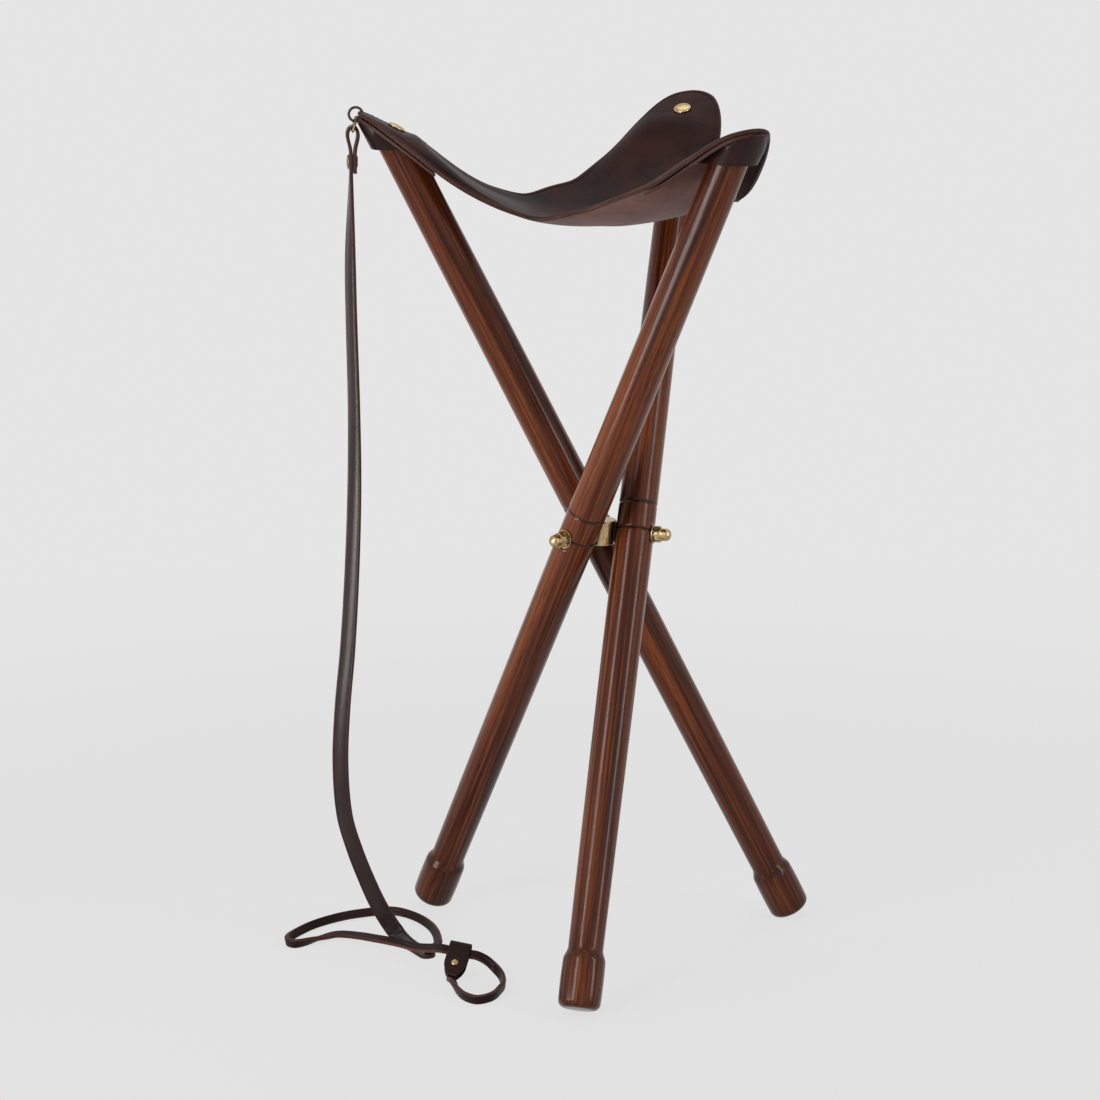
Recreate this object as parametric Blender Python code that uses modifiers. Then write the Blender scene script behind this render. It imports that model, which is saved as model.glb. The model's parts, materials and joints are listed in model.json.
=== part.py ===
"""Folding tripod stool: three turned legs crossing at a brass hub, a leather sling seat and a carrying strap."""

import math

import bmesh
import bpy
from mathutils import Matrix, Vector

for old in list(bpy.data.objects):
    bpy.data.objects.remove(old, do_unlink=True)

# Sizes in metres. FIT is the clearance left between pieces that touch.
FIT = 0.0003

# Legs: distances are measured along the leg from its pivot.
LEG_LEAN = math.radians(27.1)
LEG_RADIUS = 0.016
LEG_TOP_RADIUS = 0.0147
LEG_NECK_RADIUS = 0.0143
LEG_LOWER = 0.397
LEG_BEVEL_AT = 0.374
LEG_TOP_BEYOND = 0.016
LEG_STEPS = 24
SPOT_DEPTH = 0.0011
SPOT_RADIUS = 0.0095
GROOVES = (0.0245, 0.0015)
GROOVE_WIDTH = 0.0018
GROOVE_DEPTH = 0.0008
FOOT_RADIUS = 0.0173
FOOT_LENGTH = 0.049
FOOT_SHOULDER = 0.010
FOOT_ROUND = 0.006
LEG_ANGLES = {"left": math.radians(90), "right": math.radians(210), "rear": math.radians(330)}

# Hub and the pile of hardware on each stud, from the hub outwards.
HUB_RADIUS = 0.013
HUB_FLAT = 0.0115
HUB_HEIGHT = 0.020
HUB_CHAMFER = 0.0012
STUD_RADIUS = 0.0035
STUD_DEPTH = 0.0067
STUD_BEYOND = 0.0086
BORE_RADIUS = STUD_RADIUS + 0.0004
THRUST_RADIUS = 0.0085
THRUST_THICK = 0.0014
WASHER_RADIUS = 0.008
WASHER_THICK = 0.0012
LOCK_RADIUS = 0.00675
LOCK_TOOTH = 0.0009
LOCK_TEETH = 14
LOCK_THICK = 0.001
NUT_FLATS = 0.012
NUT_HEX = 0.0046
NUT_DOME_RADIUS = 0.0052
NUT_DOME_WALL = 0.0042
NUT_DOME_CROWN = 0.0042

# Seat leather. Heights are above the middle of the bowl; the corners are flat tongues on the leg tops.
# The rings of its mesh are shares of the knee's radius, then shares of the tongue beyond the last of those.
LEATHER = 0.004
TONGUE_RISE = math.radians(26.565)
TONGUE_BEYOND = 0.029
TONGUE_KNEE = 0.0255
KNEE_SPREAD = 0.012
FLANK_SPREAD = 0.048
FLANK_SHIFT = 0.037
FLANK_FROM = 0.012
FLANK_TO = 0.045
SEAT_EDGE = 0.080
SEAT_POWER = 2.415
SEAT_BOWL = 0.0506
SEAT_LIFT = 0.0150
SEAT_DROOP = 0.0125
SIDE_DROOP = 0.0245
FRONT_RISE = 0.0088
FRONT_LEAN = -0.0246
BACK_RISE = 0.0263
BACK_LEAN = 0.0181
SEAT_FLAT_HALF = 0.0165
SEAT_DROOP_HALF = 0.029
SEAT_RINGS = (0.0, 0.27, 0.54, 0.74, 0.87, 0.95, 1.02, 1.10)
TONGUE_RINGS = (0.35, 0.7, 1.0)
SEAT_BED = 0.0005
SEAT_STEPS = 78

# Pockets sewn under the corners.
POCKET_THICK = 0.0024
POCKET_FIT = 0.0010
POCKET_TIP_INSET = 0.0006
POCKET_EDGE_INSET = 0.0006
POCKET_HALF = 0.0188
POCKET_ROOM = 0.0012
POCKET_RIM = 0.026
POCKET_WING_AFTER = {"left": 0.010, "right": 0.026, "rear": 0.014}
POCKET_WING_BEFORE = 0.030
POCKET_TROUGH = 0.55

# Seat screws.
SCREW_HEAD_RADIUS = 0.0075
SCREW_HEAD_RISE = 0.0032
SCREW_RADIUS = 0.0022
SCREW_LENGTH = 0.020
SCREW_INWARD = 0.003
SCREW_HOLE = SCREW_RADIUS + 0.0004

# Rings at the left corner.
RING_RADIUS = 0.0085
RING_WIRE = 0.0011
RING_HOLE = 0.0026
RING_HOLE_INSET = 0.0041
RING_RISE = math.radians(24)
LINK_HALF_HEIGHT = 0.0067
LINK_ROUND = 0.004
LINK_WIRE = 0.001

# Straps.
STRAP_WIDTH = 0.0145
STRAP_THICK = 0.0028
STRAP_FOLD = 0.0042
STRAP_TAIL = 0.034
RIVET_HEAD = 0.0062
RIVET_RISE = 0.0028
RIVET_RADIUS = 0.0015
RIVET_BELOW = 0.025
LOOP_WIDTH = 0.0076
LOOP_THICK = 0.004
KEEPER_THICK = 0.0018
KEEPER_HALF = 0.009
KEEPER_LENGTH = 0.0245
KEEPER_AT = Vector((-0.1354, -0.0490, 0.0195))
KEEPER_TURN = math.radians(-26)
KEEPER_DIP = math.radians(8)
KEEPER_TILT = math.radians(-38)
KEEPER_RIVET_AT = 0.0135
KEEPER_RIVET_HEAD = 0.003
KEEPER_RIVET_RADIUS = 0.0011

# Sizes that follow from the ones above.
LEG_FACE = LEG_RADIUS - SPOT_DEPTH
PIVOT_RADIUS = HUB_FLAT + FIT + THRUST_THICK + FIT + LEG_FACE
WASHER_AT = PIVOT_RADIUS + LEG_FACE + FIT
LOCK_AT = WASHER_AT + WASHER_THICK + FIT
NUT_AT = LOCK_AT + LOCK_THICK + FIT
HUB_Z = ((LEG_LOWER - FOOT_ROUND) * math.cos(LEG_LEAN)
         + (FOOT_RADIUS - FOOT_ROUND) * math.sin(LEG_LEAN) + FOOT_ROUND)
CORNER_LEAD = math.atan2(LEG_BEVEL_AT * math.sin(LEG_LEAN), PIVOT_RADIUS)
BEVEL_OUT = math.hypot(LEG_BEVEL_AT * math.sin(LEG_LEAN), PIVOT_RADIUS)
BEVEL_Z = HUB_Z + LEG_BEVEL_AT * math.cos(LEG_LEAN)
SEAT_TIP = BEVEL_OUT + TONGUE_BEYOND
SEAT_KNEE = BEVEL_OUT - TONGUE_KNEE
SEAT_Z = (BEVEL_Z + (LEATHER + SEAT_BED) / math.cos(TONGUE_RISE) - SEAT_BOWL - SEAT_LIFT
          - math.tan(TONGUE_RISE) * TONGUE_KNEE)


# Collections and parents.
parts = bpy.data.collections.new("folding_tripod_stool")
cutters = bpy.data.collections.new("cutters")
bpy.context.scene.collection.children.link(parts)
bpy.context.scene.collection.children.link(cutters)
cutters.hide_render = True


def make_material(name, color, metallic, roughness):
    material = bpy.data.materials.new(name)
    material.use_nodes = True
    shader = material.node_tree.nodes["Principled BSDF"]
    shader.inputs["Base Color"].default_value = (*color, 1.0)
    shader.inputs["Metallic"].default_value = metallic
    shader.inputs["Roughness"].default_value = roughness
    return material


wood = make_material("leg_wood", (0.110, 0.030, 0.016), 0.0, 0.25)
seat_leather = make_material("seat_leather", (0.030, 0.018, 0.015), 0.0, 0.3)
pocket_leather = make_material("pocket_leather", (0.045, 0.022, 0.016), 0.0, 0.35)
strap_leather = make_material("strap_leather", (0.040, 0.020, 0.014), 0.0, 0.4)
brass = make_material("brass", (0.560, 0.380, 0.160), 1.0, 0.25)
fibre = make_material("fibre", (0.060, 0.030, 0.020), 0.0, 0.7)
steel = make_material("washer_steel", (0.350, 0.330, 0.300), 1.0, 0.35)
dark_steel = make_material("ring_steel", (0.080, 0.075, 0.070), 1.0, 0.4)


def make_empty(name, parent, matrix):
    empty = bpy.data.objects.new(name, None)
    empty.empty_display_size = 0.03
    parts.objects.link(empty)
    empty.parent = parent
    empty.matrix_basis = matrix
    return empty


def add_part(name, data, material, parent, matrix):
    data.materials.append(material)
    part = bpy.data.objects.new(name, data)
    parts.objects.link(part)
    part.parent = parent
    part.matrix_basis = matrix
    return part


def add_cutter(name, data, parent, matrix):
    cutter = bpy.data.objects.new(name, data)
    cutters.objects.link(cutter)
    cutter.parent = parent
    cutter.matrix_basis = matrix
    cutter.hide_render = True
    cutter.display_type = "WIRE"
    return cutter


def combine(part, other, operation="DIFFERENCE"):
    boolean = part.modifiers.new(other.name, "BOOLEAN")
    boolean.operation = operation
    boolean.object = other


def mesh_of(name, shape):
    bmesh.ops.recalc_face_normals(shape, faces=shape.faces)
    mesh = bpy.data.meshes.new(name)
    shape.to_mesh(mesh)
    shape.free()
    return mesh


def cylinder_mesh(name, radius, bottom, top, segments=20):
    shape = bmesh.new()
    middle = Matrix.Translation((0, 0, (bottom + top) / 2))
    bmesh.ops.create_cone(shape, cap_ends=True, segments=segments, radius1=radius, radius2=radius,
                          depth=top - bottom, matrix=middle)
    return mesh_of(name, shape)


def box_mesh(name, low, high):
    shape = bmesh.new()
    bmesh.ops.create_cube(shape, size=1.0)
    for vert in shape.verts:
        vert.co = Vector(l + (h - l) * (c + 0.5) for l, h, c in zip(low, high, vert.co))
    return mesh_of(name, shape)


def profile_mesh(name, points, cyclic=False):
    """An outline in X and Z for a Screw modifier, given down its outer side."""
    shape = bmesh.new()
    verts = [shape.verts.new((x, 0, z)) for x, z in points]
    for first, second in zip(verts, verts[1:]):
        shape.edges.new((first, second))
    if cyclic:
        shape.edges.new((verts[-1], verts[0]))
    mesh = bpy.data.meshes.new(name)
    shape.to_mesh(mesh)
    shape.free()
    return mesh


def turn(part, steps):
    screw = part.modifiers.new("turned", "SCREW")
    screw.axis = "Z"
    screw.steps = steps
    screw.render_steps = steps
    screw.use_merge_vertices = True
    screw.merge_threshold = 0.00001
    screw.use_smooth_shade = True


def arc(x, z, radius, start, end, count):
    """Points on a rounded edge, angles in degrees from +X towards +Z."""
    steps = [math.radians(start + (end - start) * i / count) for i in range(count + 1)]
    return [(x + radius * math.cos(a), z + radius * math.sin(a)) for a in steps]


def dome(radius, base, rise, count):
    """Points of a domed top, from the middle down to its rim."""
    angles = [math.pi / 2 * (1 - i / count) for i in range(count + 1)]
    return [(radius * math.cos(a) if i else 0.0, base + rise * math.sin(a)) for i, a in enumerate(angles)]


def solidify(part, thickness, offset):
    shell = part.modifiers.new("thickness", "SOLIDIFY")
    shell.thickness = thickness
    shell.offset = offset


def frame_from(x_axis, z_axis, origin):
    z_axis = z_axis.normalized()
    y_axis = z_axis.cross(x_axis).normalized()
    x_axis = y_axis.cross(z_axis)
    return Matrix.Translation(origin) @ Matrix((x_axis, y_axis, z_axis)).transposed().to_4x4()


def smooth_step(low, high, value):
    t = min(max((value - low) / (high - low), 0.0), 1.0)
    return t * t * (3 - 2 * t)


UP = Vector((0, 0, 1))
IDENTITY = Matrix.Identity(4)
stool = make_empty("stool", None, IDENTITY)


# Directions: a leg's stud points outwards, its corner lies a fixed angle ahead of that.
def stud_direction(side):
    angle = LEG_ANGLES[side]
    return Vector((math.cos(angle), math.sin(angle), 0))


def leg_frame(side):
    """Origin on the pivot, X along the stud, Z up the leg."""
    out = stud_direction(side)
    along = UP * math.cos(LEG_LEAN) + UP.cross(out) * math.sin(LEG_LEAN)
    return frame_from(out, along, out * PIVOT_RADIUS + UP * HUB_Z)


def stud_frame(side):
    """Origin at the hub's middle, Z along the stud."""
    return frame_from(UP, stud_direction(side), UP * HUB_Z)


def corner_direction(side):
    angle = LEG_ANGLES[side] + CORNER_LEAD
    return Vector((math.cos(angle), math.sin(angle), 0))


def tongue_frame(side):
    """Origin in the middle of the leg's bevelled top, X outwards along the tongue, Z square to it."""
    out = corner_direction(side)
    along = out * math.cos(TONGUE_RISE) + UP * math.sin(TONGUE_RISE)
    square = UP * math.cos(TONGUE_RISE) - out * math.sin(TONGUE_RISE)
    return frame_from(along, square, out * BEVEL_OUT + UP * BEVEL_Z)


leg_parents = {side: make_empty(side + "_leg_pivot", stool, leg_frame(side)) for side in LEG_ANGLES}
hub_parent = make_empty("hub_pivot", stool, Matrix.Translation(UP * HUB_Z))
to_hub = hub_parent.matrix_basis.inverted()


# Legs.
def leg_radius(s):
    end, end_radius = (LEG_BEVEL_AT, LEG_TOP_RADIUS) if s > 0 else (LEG_LOWER - FOOT_LENGTH, LEG_NECK_RADIUS)
    return LEG_RADIUS + (end_radius - LEG_RADIUS) * min(abs(s) / end, 1.0) ** 1.4


def leg_outline():
    top = LEG_BEVEL_AT + LEG_TOP_BEYOND
    shoulder = -(LEG_LOWER - FOOT_LENGTH)
    points = [(0.0, top), (leg_radius(top), top)]
    points += [(leg_radius(s), s) for s in (LEG_BEVEL_AT * 0.66, LEG_BEVEL_AT * 0.33)]
    for s in GROOVES:
        edge = GROOVE_WIDTH / 2
        points += [(leg_radius(s + edge), s + edge), (leg_radius(s) - GROOVE_DEPTH, s + edge / 3)]
        points += [(leg_radius(s) - GROOVE_DEPTH, s - edge / 3), (leg_radius(s - edge), s - edge)]
    points += [(leg_radius(s), s) for s in (shoulder * 0.33, shoulder * 0.66, shoulder)]
    points += [(LEG_NECK_RADIUS + (FOOT_RADIUS - LEG_NECK_RADIUS) * smooth_step(0, 1, t), shoulder - FOOT_SHOULDER * t)
               for t in (0.35, 0.65, 1.0)]
    points += arc(FOOT_RADIUS - FOOT_ROUND, FOOT_ROUND - LEG_LOWER, FOOT_ROUND, 0, -90, 4)
    points += [(0.0, -LEG_LOWER)]
    return points


def make_leg(side):
    parent = leg_parents[side]
    leg = add_part(side + "_leg", profile_mesh(side + "_leg", leg_outline()), wood, parent, IDENTITY)
    turn(leg, LEG_STEPS)
    across = Matrix.Rotation(math.pi / 2, 4, "Y")
    reach = 3 * LEG_RADIUS
    bevel_box = box_mesh(side + "_bevel_cut", (-reach, -reach, 0), (reach, reach, 2 * reach))
    tongue = parent.matrix_basis.inverted() @ tongue_frame(side)
    combine(leg, add_cutter(side + "_bevel_cut", bevel_box, parent, tongue))
    bore = cylinder_mesh(side + "_bore_cut", BORE_RADIUS, -reach, reach)
    combine(leg, add_cutter(side + "_bore_cut", bore, parent, across))
    for end, turned in (("outer", across), ("inner", Matrix.Rotation(-math.pi / 2, 4, "Y"))):
        name = f"{side}_{end}_spot_cut"
        spot = cylinder_mesh(name, SPOT_RADIUS, LEG_FACE, reach, 24)
        combine(leg, add_cutter(name, spot, parent, turned))
    hole = cylinder_mesh(side + "_pilot_cut", SCREW_HOLE, -SCREW_LENGTH, SCREW_LENGTH, 12)
    inward = tongue @ Matrix.Translation((-SCREW_INWARD, 0, 0))
    combine(leg, add_cutter(side + "_pilot_cut", hole, parent, inward))


for each_side in LEG_ANGLES:
    make_leg(each_side)


# Hub.
hub = add_part("hub", cylinder_mesh("hub", HUB_RADIUS, -HUB_HEIGHT / 2, HUB_HEIGHT / 2, 36), brass,
               hub_parent, IDENTITY)
chamfer = hub.modifiers.new("chamfer", "BEVEL")
chamfer.width = HUB_CHAMFER
chamfer.segments = 1
chamfer.limit_method = "ANGLE"
chamfer.angle_limit = math.radians(60)


def make_pivot(side):
    """The hub's flat and bore for one stud, and the pile of hardware on that stud."""
    place = to_hub @ stud_frame(side)
    flat = box_mesh(side + "_flat_cut", (-HUB_HEIGHT, -HUB_HEIGHT, HUB_FLAT), (HUB_HEIGHT, HUB_HEIGHT, 2 * HUB_RADIUS))
    combine(hub, add_cutter(side + "_flat_cut", flat, hub_parent, place))
    bore_start = HUB_FLAT - STUD_DEPTH - FIT
    bore = cylinder_mesh(side + "_hub_bore_cut", BORE_RADIUS, bore_start, 2 * HUB_RADIUS)
    combine(hub, add_cutter(side + "_hub_bore_cut", bore, hub_parent, place))
    stud_end = NUT_AT + STUD_BEYOND
    stud = cylinder_mesh(side + "_stud", STUD_RADIUS, HUB_FLAT - STUD_DEPTH, stud_end)
    add_part(side + "_stud", stud, brass, hub_parent, place)
    rings = (("thrust_washer", THRUST_RADIUS, HUB_FLAT + FIT, THRUST_THICK, fibre),
             ("flat_washer", WASHER_RADIUS, WASHER_AT, WASHER_THICK, brass))
    for kind, radius, start, thick, stuff in rings:
        edge = thick / 4
        outline = [(radius - edge, start + thick), (radius, start + thick - edge), (radius, start + edge),
                   (radius - edge, start), (BORE_RADIUS, start), (BORE_RADIUS, start + thick)]
        ring = add_part(f"{side}_{kind}", profile_mesh(f"{side}_{kind}", outline, True), stuff, hub_parent, place)
        turn(ring, 20)
    make_lock_washer(side, place)
    make_nut(side, place)


def make_lock_washer(side, place):
    curve = bpy.data.curves.new(side + "_lock_washer", "CURVE")
    curve.dimensions = "2D"
    curve.fill_mode = "BOTH"
    curve.extrude = LOCK_THICK / 2
    toothed = curve.splines.new("POLY")
    toothed.points.add(4 * LOCK_TEETH - 1)
    for i, point in enumerate(toothed.points):
        angle = 2 * math.pi * (i + 0.25 * (-1) ** i) / (4 * LOCK_TEETH)
        radius = LOCK_RADIUS - (LOCK_TOOTH if i % 4 in (2, 3) else 0)
        point.co = (radius * math.cos(angle), radius * math.sin(angle), 0, 1)
    toothed.use_cyclic_u = True
    inner = curve.splines.new("POLY")
    inner.points.add(19)
    for i, point in enumerate(inner.points):
        angle = 2 * math.pi * i / 20
        point.co = (BORE_RADIUS * math.cos(angle), BORE_RADIUS * math.sin(angle), 0, 1)
    inner.use_cyclic_u = True
    lifted = place @ Matrix.Translation((0, 0, LOCK_AT + LOCK_THICK / 2))
    add_part(side + "_lock_washer", curve, steel, hub_parent, lifted)


def make_nut(side, place):
    lifted = place @ Matrix.Translation((0, 0, NUT_AT))
    nut_shape = cylinder_mesh(side + "_cap_nut", NUT_FLATS / math.sqrt(3), 0, NUT_HEX, 6)
    nut = add_part(side + "_cap_nut", nut_shape, brass, hub_parent, lifted)
    edge = nut.modifiers.new("edge", "BEVEL")
    edge.width = 0.0004
    edge.segments = 1
    wall = NUT_HEX + NUT_DOME_WALL
    outline = dome(NUT_DOME_RADIUS, wall, NUT_DOME_CROWN, 5) + [(NUT_DOME_RADIUS, NUT_HEX / 2), (0.0, NUT_HEX / 2)]
    cap = add_cutter(side + "_cap_join", profile_mesh(side + "_cap_join", outline), hub_parent, lifted)
    turn(cap, 18)
    combine(nut, cap, "UNION")
    hole = cylinder_mesh(side + "_nut_cut", BORE_RADIUS, -NUT_HEX, STUD_BEYOND + FIT)
    combine(nut, add_cutter(side + "_nut_cut", hole, hub_parent, lifted))


for each_side in LEG_ANGLES:
    make_pivot(each_side)


# Seat surface: a bowl that turns into a flat tongue at each corner.
def corner_offset(angle):
    """The angle from the nearest corner, and that corner's own angle."""
    third = 2 * math.pi / 3
    first = LEG_ANGLES["left"] + CORNER_LEAD
    corner = first + third * round((angle - first) / third)
    return angle - corner, corner


def seat_outline(offset):
    return SEAT_EDGE + (SEAT_TIP - SEAT_EDGE) * ((1 + math.cos(3 * offset)) / 2) ** SEAT_POWER


def edge_warp(offset, corner):
    """How much a free edge of the seat stands above its even form: the front one and the back one do."""
    side = max(LEG_ANGLES, key=lambda name: math.cos(LEG_ANGLES[name] + CORNER_LEAD - corner))
    if side == "left":
        rise, lean = (FRONT_RISE, FRONT_LEAN) if offset > 0 else (BACK_RISE, BACK_LEAN)
    elif side == "right":
        rise, lean = (0.0, 0.0) if offset > 0 else (FRONT_RISE, FRONT_LEAN)
    else:
        rise, lean = (BACK_RISE, BACK_LEAN) if offset > 0 else (0.0, 0.0)
    share = math.pi * (offset / math.radians(120) % 1.0)
    return rise * math.sin(share) ** 2 + lean * math.sin(2 * share) * math.sin(share)


def seat_height(out, offset, corner):
    ratio = out / SEAT_KNEE
    along = out * math.cos(offset)
    across = abs(out * math.sin(offset))
    bowl = SEAT_BOWL * ratio ** 2 + SEAT_LIFT * ratio ** 3 * math.cos(3 * offset)
    bowl += edge_warp(offset, corner) * ratio ** 2
    tongue = SEAT_BOWL + SEAT_LIFT + math.tan(TONGUE_RISE) * (along - SEAT_KNEE)
    flank = smooth_step(FLANK_FROM, FLANK_TO, across)
    knee, spread = SEAT_KNEE - FLANK_SHIFT * flank, KNEE_SPREAD + FLANK_SPREAD * flank
    share = smooth_step(knee - spread, knee + spread, along)
    hangs = math.cos(LEG_ANGLES["right"] + CORNER_LEAD - corner) > 0.5 and offset > 0
    droop = (SIDE_DROOP if hangs else SEAT_DROOP) * (max(across - SEAT_FLAT_HALF, 0) / SEAT_DROOP_HALF) ** 2
    droop *= smooth_step(0.446 * SEAT_KNEE, SEAT_KNEE, along)
    return SEAT_Z + bowl * (1 - share) + tongue * share - droop


def seat_point(along, across, corner):
    """A point of the seat's top, by its distances along and across from one corner's direction."""
    out = Vector((math.cos(corner), math.sin(corner), 0))
    height = seat_height(math.hypot(along, across), math.atan2(across, along), corner)
    return out * along + UP.cross(out) * across + UP * height


def seat_square(along, across, corner):
    """The upward direction square to the seat's top."""
    step = 0.0005
    forward = seat_point(along + step, across, corner) - seat_point(along - step, across, corner)
    sideways = seat_point(along, across + step, corner) - seat_point(along, across - step, corner)
    return forward.cross(sideways).normalized()


def seat_half_width(along):
    """Half the seat's width where its edge lies this far along a corner's direction."""
    low, high = 0.0, math.radians(55)
    for _ in range(40):
        middle = (low + high) / 2
        low, high = (middle, high) if seat_outline(middle) * math.cos(middle) > along else (low, middle)
    return seat_outline(low) * math.sin(low)


def make_seat():
    shape = bmesh.new()
    fractions = [ring * SEAT_KNEE / SEAT_TIP for ring in SEAT_RINGS]
    fractions += [fractions[-1] + (1 - fractions[-1]) * ring for ring in TONGUE_RINGS]
    chain = [shape.verts.new((fraction, 0, 0)) for fraction in fractions]
    edges = [shape.edges.new(pair) for pair in zip(chain, chain[1:])]
    bmesh.ops.spin(shape, geom=chain + edges, cent=(0, 0, 0), axis=(0, 0, 1), angle=2 * math.pi,
                   steps=SEAT_STEPS, use_merge=True)
    bmesh.ops.remove_doubles(shape, verts=shape.verts, dist=0.0001)
    for vert in shape.verts:
        fraction = math.hypot(vert.co.x, vert.co.y)
        offset, corner = corner_offset(math.atan2(vert.co.y, vert.co.x) + LEG_ANGLES["left"] + CORNER_LEAD)
        turn_share = offset / math.radians(60)
        offset = math.copysign(abs(turn_share) ** 1.6, turn_share) * math.radians(60)
        out = fraction * seat_outline(offset)
        vert.co = (out * math.cos(corner + offset), out * math.sin(corner + offset), seat_height(out, offset, corner))
    mesh = mesh_of("seat_panel", shape)
    if sum(polygon.normal.z for polygon in mesh.polygons) < 0:
        mesh.flip_normals()
    panel = add_part("seat_panel", mesh, seat_leather, hub_parent, to_hub)
    solidify(panel, LEATHER, -1)
    return panel


seat_panel = make_seat()


# Pockets: flanges flat under the seat, with a trough between them that takes the leg's top.
LEG_TO_TONGUE = math.asin(min(1.0, abs(
    (leg_frame("left").to_3x3() @ Vector((0, 0, 1))).dot(tongue_frame("left").to_3x3() @ Vector((0, 0, 1))))))


def pocket_point(u, v, side):
    corner = LEG_ANGLES[side] + CORNER_LEAD
    inside = min(abs(u) / POCKET_TROUGH, 1.0) * math.pi / 2
    outside = max((abs(u) - POCKET_TROUGH) / (1 - POCKET_TROUGH), 0.0)
    tip = SEAT_TIP - POCKET_TIP_INSET
    rim = BEVEL_OUT - POCKET_RIM - (POCKET_WING_AFTER[side] if u > 0 else POCKET_WING_BEFORE) * outside ** 1.5
    along = tip + (rim - tip) * v
    half = seat_half_width(along) - POCKET_EDGE_INSET
    trough = min(POCKET_HALF, 0.7 * half)
    across = trough + (half - trough) * outside if outside else trough * math.sin(inside)
    across = math.copysign(across, u)
    reach = (BEVEL_OUT - along) / math.cos(TONGUE_RISE)
    depth = reach * math.tan(LEG_TO_TONGUE) + LEG_TOP_RADIUS / math.cos(LEG_TO_TONGUE)
    depth += POCKET_ROOM + POCKET_THICK / 2
    depth = max(depth, 0.0) * math.cos(inside)
    under = LEATHER + POCKET_FIT * (1 + 1.4 * outside) + POCKET_THICK / 2
    square = tongue_frame(side).to_3x3() @ UP
    return seat_point(along, across, corner) - seat_square(along, across, corner) * under - square * depth


def rim_share(u, side):
    """How far down the trough goes before its level rim."""
    if abs(u) >= POCKET_TROUGH:
        return 1.0
    ends = [pocket_point(sign * POCKET_TROUGH, 1.0, side).z for sign in (-1, 1)]
    level = ends[0] + (ends[1] - ends[0]) * (u / POCKET_TROUGH + 1) / 2
    low, high = 0.2, 1.0
    for _ in range(30):
        middle = (low + high) / 2
        low, high = (middle, high) if pocket_point(u, middle, side).z > level else (low, middle)
    return low


def make_pocket(side):
    shape = bmesh.new()
    bmesh.ops.create_grid(shape, x_segments=18, y_segments=8, size=1.0)
    for vert in shape.verts:
        vert.co = pocket_point(vert.co.x, (vert.co.y + 1) / 2 * rim_share(vert.co.x, side), side)
    parent = leg_parents[side]
    pocket = add_part(side + "_pocket", mesh_of(side + "_pocket", shape), pocket_leather, parent,
                      parent.matrix_basis.inverted())
    solidify(pocket, POCKET_THICK, 0)
    return pocket


pockets = {side: make_pocket(side) for side in LEG_ANGLES}


# Seat screws, through the leather into the leg.
def make_seat_screw(side):
    parent = leg_parents[side]
    top = LEATHER + SEAT_BED + FIT
    rim = SCREW_HEAD_RISE / 4
    place = tongue_frame(side) @ Matrix.Translation((-SCREW_INWARD, 0, 0))
    outline = dome(SCREW_HEAD_RADIUS, top + rim, SCREW_HEAD_RISE - rim, 5)
    outline += [(SCREW_HEAD_RADIUS, top), (SCREW_RADIUS, top), (SCREW_RADIUS, -SCREW_LENGTH + 0.004)]
    outline += [(0.0, -SCREW_LENGTH + 0.001)]
    screw = add_part(side + "_seat_screw", profile_mesh(side + "_seat_screw", outline), brass, parent,
                     parent.matrix_basis.inverted() @ place)
    turn(screw, 16)
    hole = cylinder_mesh(side + "_seat_hole_cut", SCREW_HOLE, -LEATHER, 3 * LEATHER, 12)
    combine(seat_panel, add_cutter(side + "_seat_hole_cut", hole, hub_parent, to_hub @ place))


for each_side in LEG_ANGLES:
    make_seat_screw(each_side)


# Rings at the left corner: one through the leather, one hanging from it that carries the strap.
left_parent = leg_parents["left"]
to_left = left_parent.matrix_basis.inverted()
corner_out = corner_direction("left")
corner_side = UP.cross(corner_out)
stack_middle = LEATHER + SEAT_BED - (LEATHER + POCKET_FIT + POCKET_THICK) / 2
hole_along = (TONGUE_BEYOND - RING_HOLE_INSET) / math.cos(TONGUE_RISE)
hole_frame = tongue_frame("left") @ Matrix.Translation((hole_along, 0, stack_middle))
ring_middle = hole_frame.translation + RING_RADIUS * (corner_out * math.cos(RING_RISE) + UP * math.sin(RING_RISE))
ring_hole = cylinder_mesh("ring_hole_cut", RING_HOLE, -3 * LEATHER, 3 * LEATHER, 12)
ring_cutter = add_cutter("ring_hole_cut", ring_hole, left_parent, to_left @ hole_frame)
combine(seat_panel, ring_cutter)
combine(pockets["left"], ring_cutter)


def wire_loop(name, points, wire, material, place):
    curve = bpy.data.curves.new(name, "CURVE")
    curve.dimensions = "3D"
    curve.bevel_depth = wire
    curve.bevel_resolution = 2
    loop = curve.splines.new("POLY")
    loop.points.add(len(points) - 1)
    for point, (x, y) in zip(loop.points, points):
        point.co = (x, y, 0, 1)
    loop.use_cyclic_u = True
    return add_part(name, curve, material, left_parent, to_left @ place)


def rounded_rectangle(half_width, half_height, radius, count):
    """Points of a rectangle with rounded corners, anticlockwise."""
    points = []
    for i, (x, y) in enumerate(((1, 1), (-1, 1), (-1, -1), (1, -1))):
        points += arc(x * (half_width - radius), y * (half_height - radius), radius, 90 * i, 90 * i + 90, count)
    return points


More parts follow.
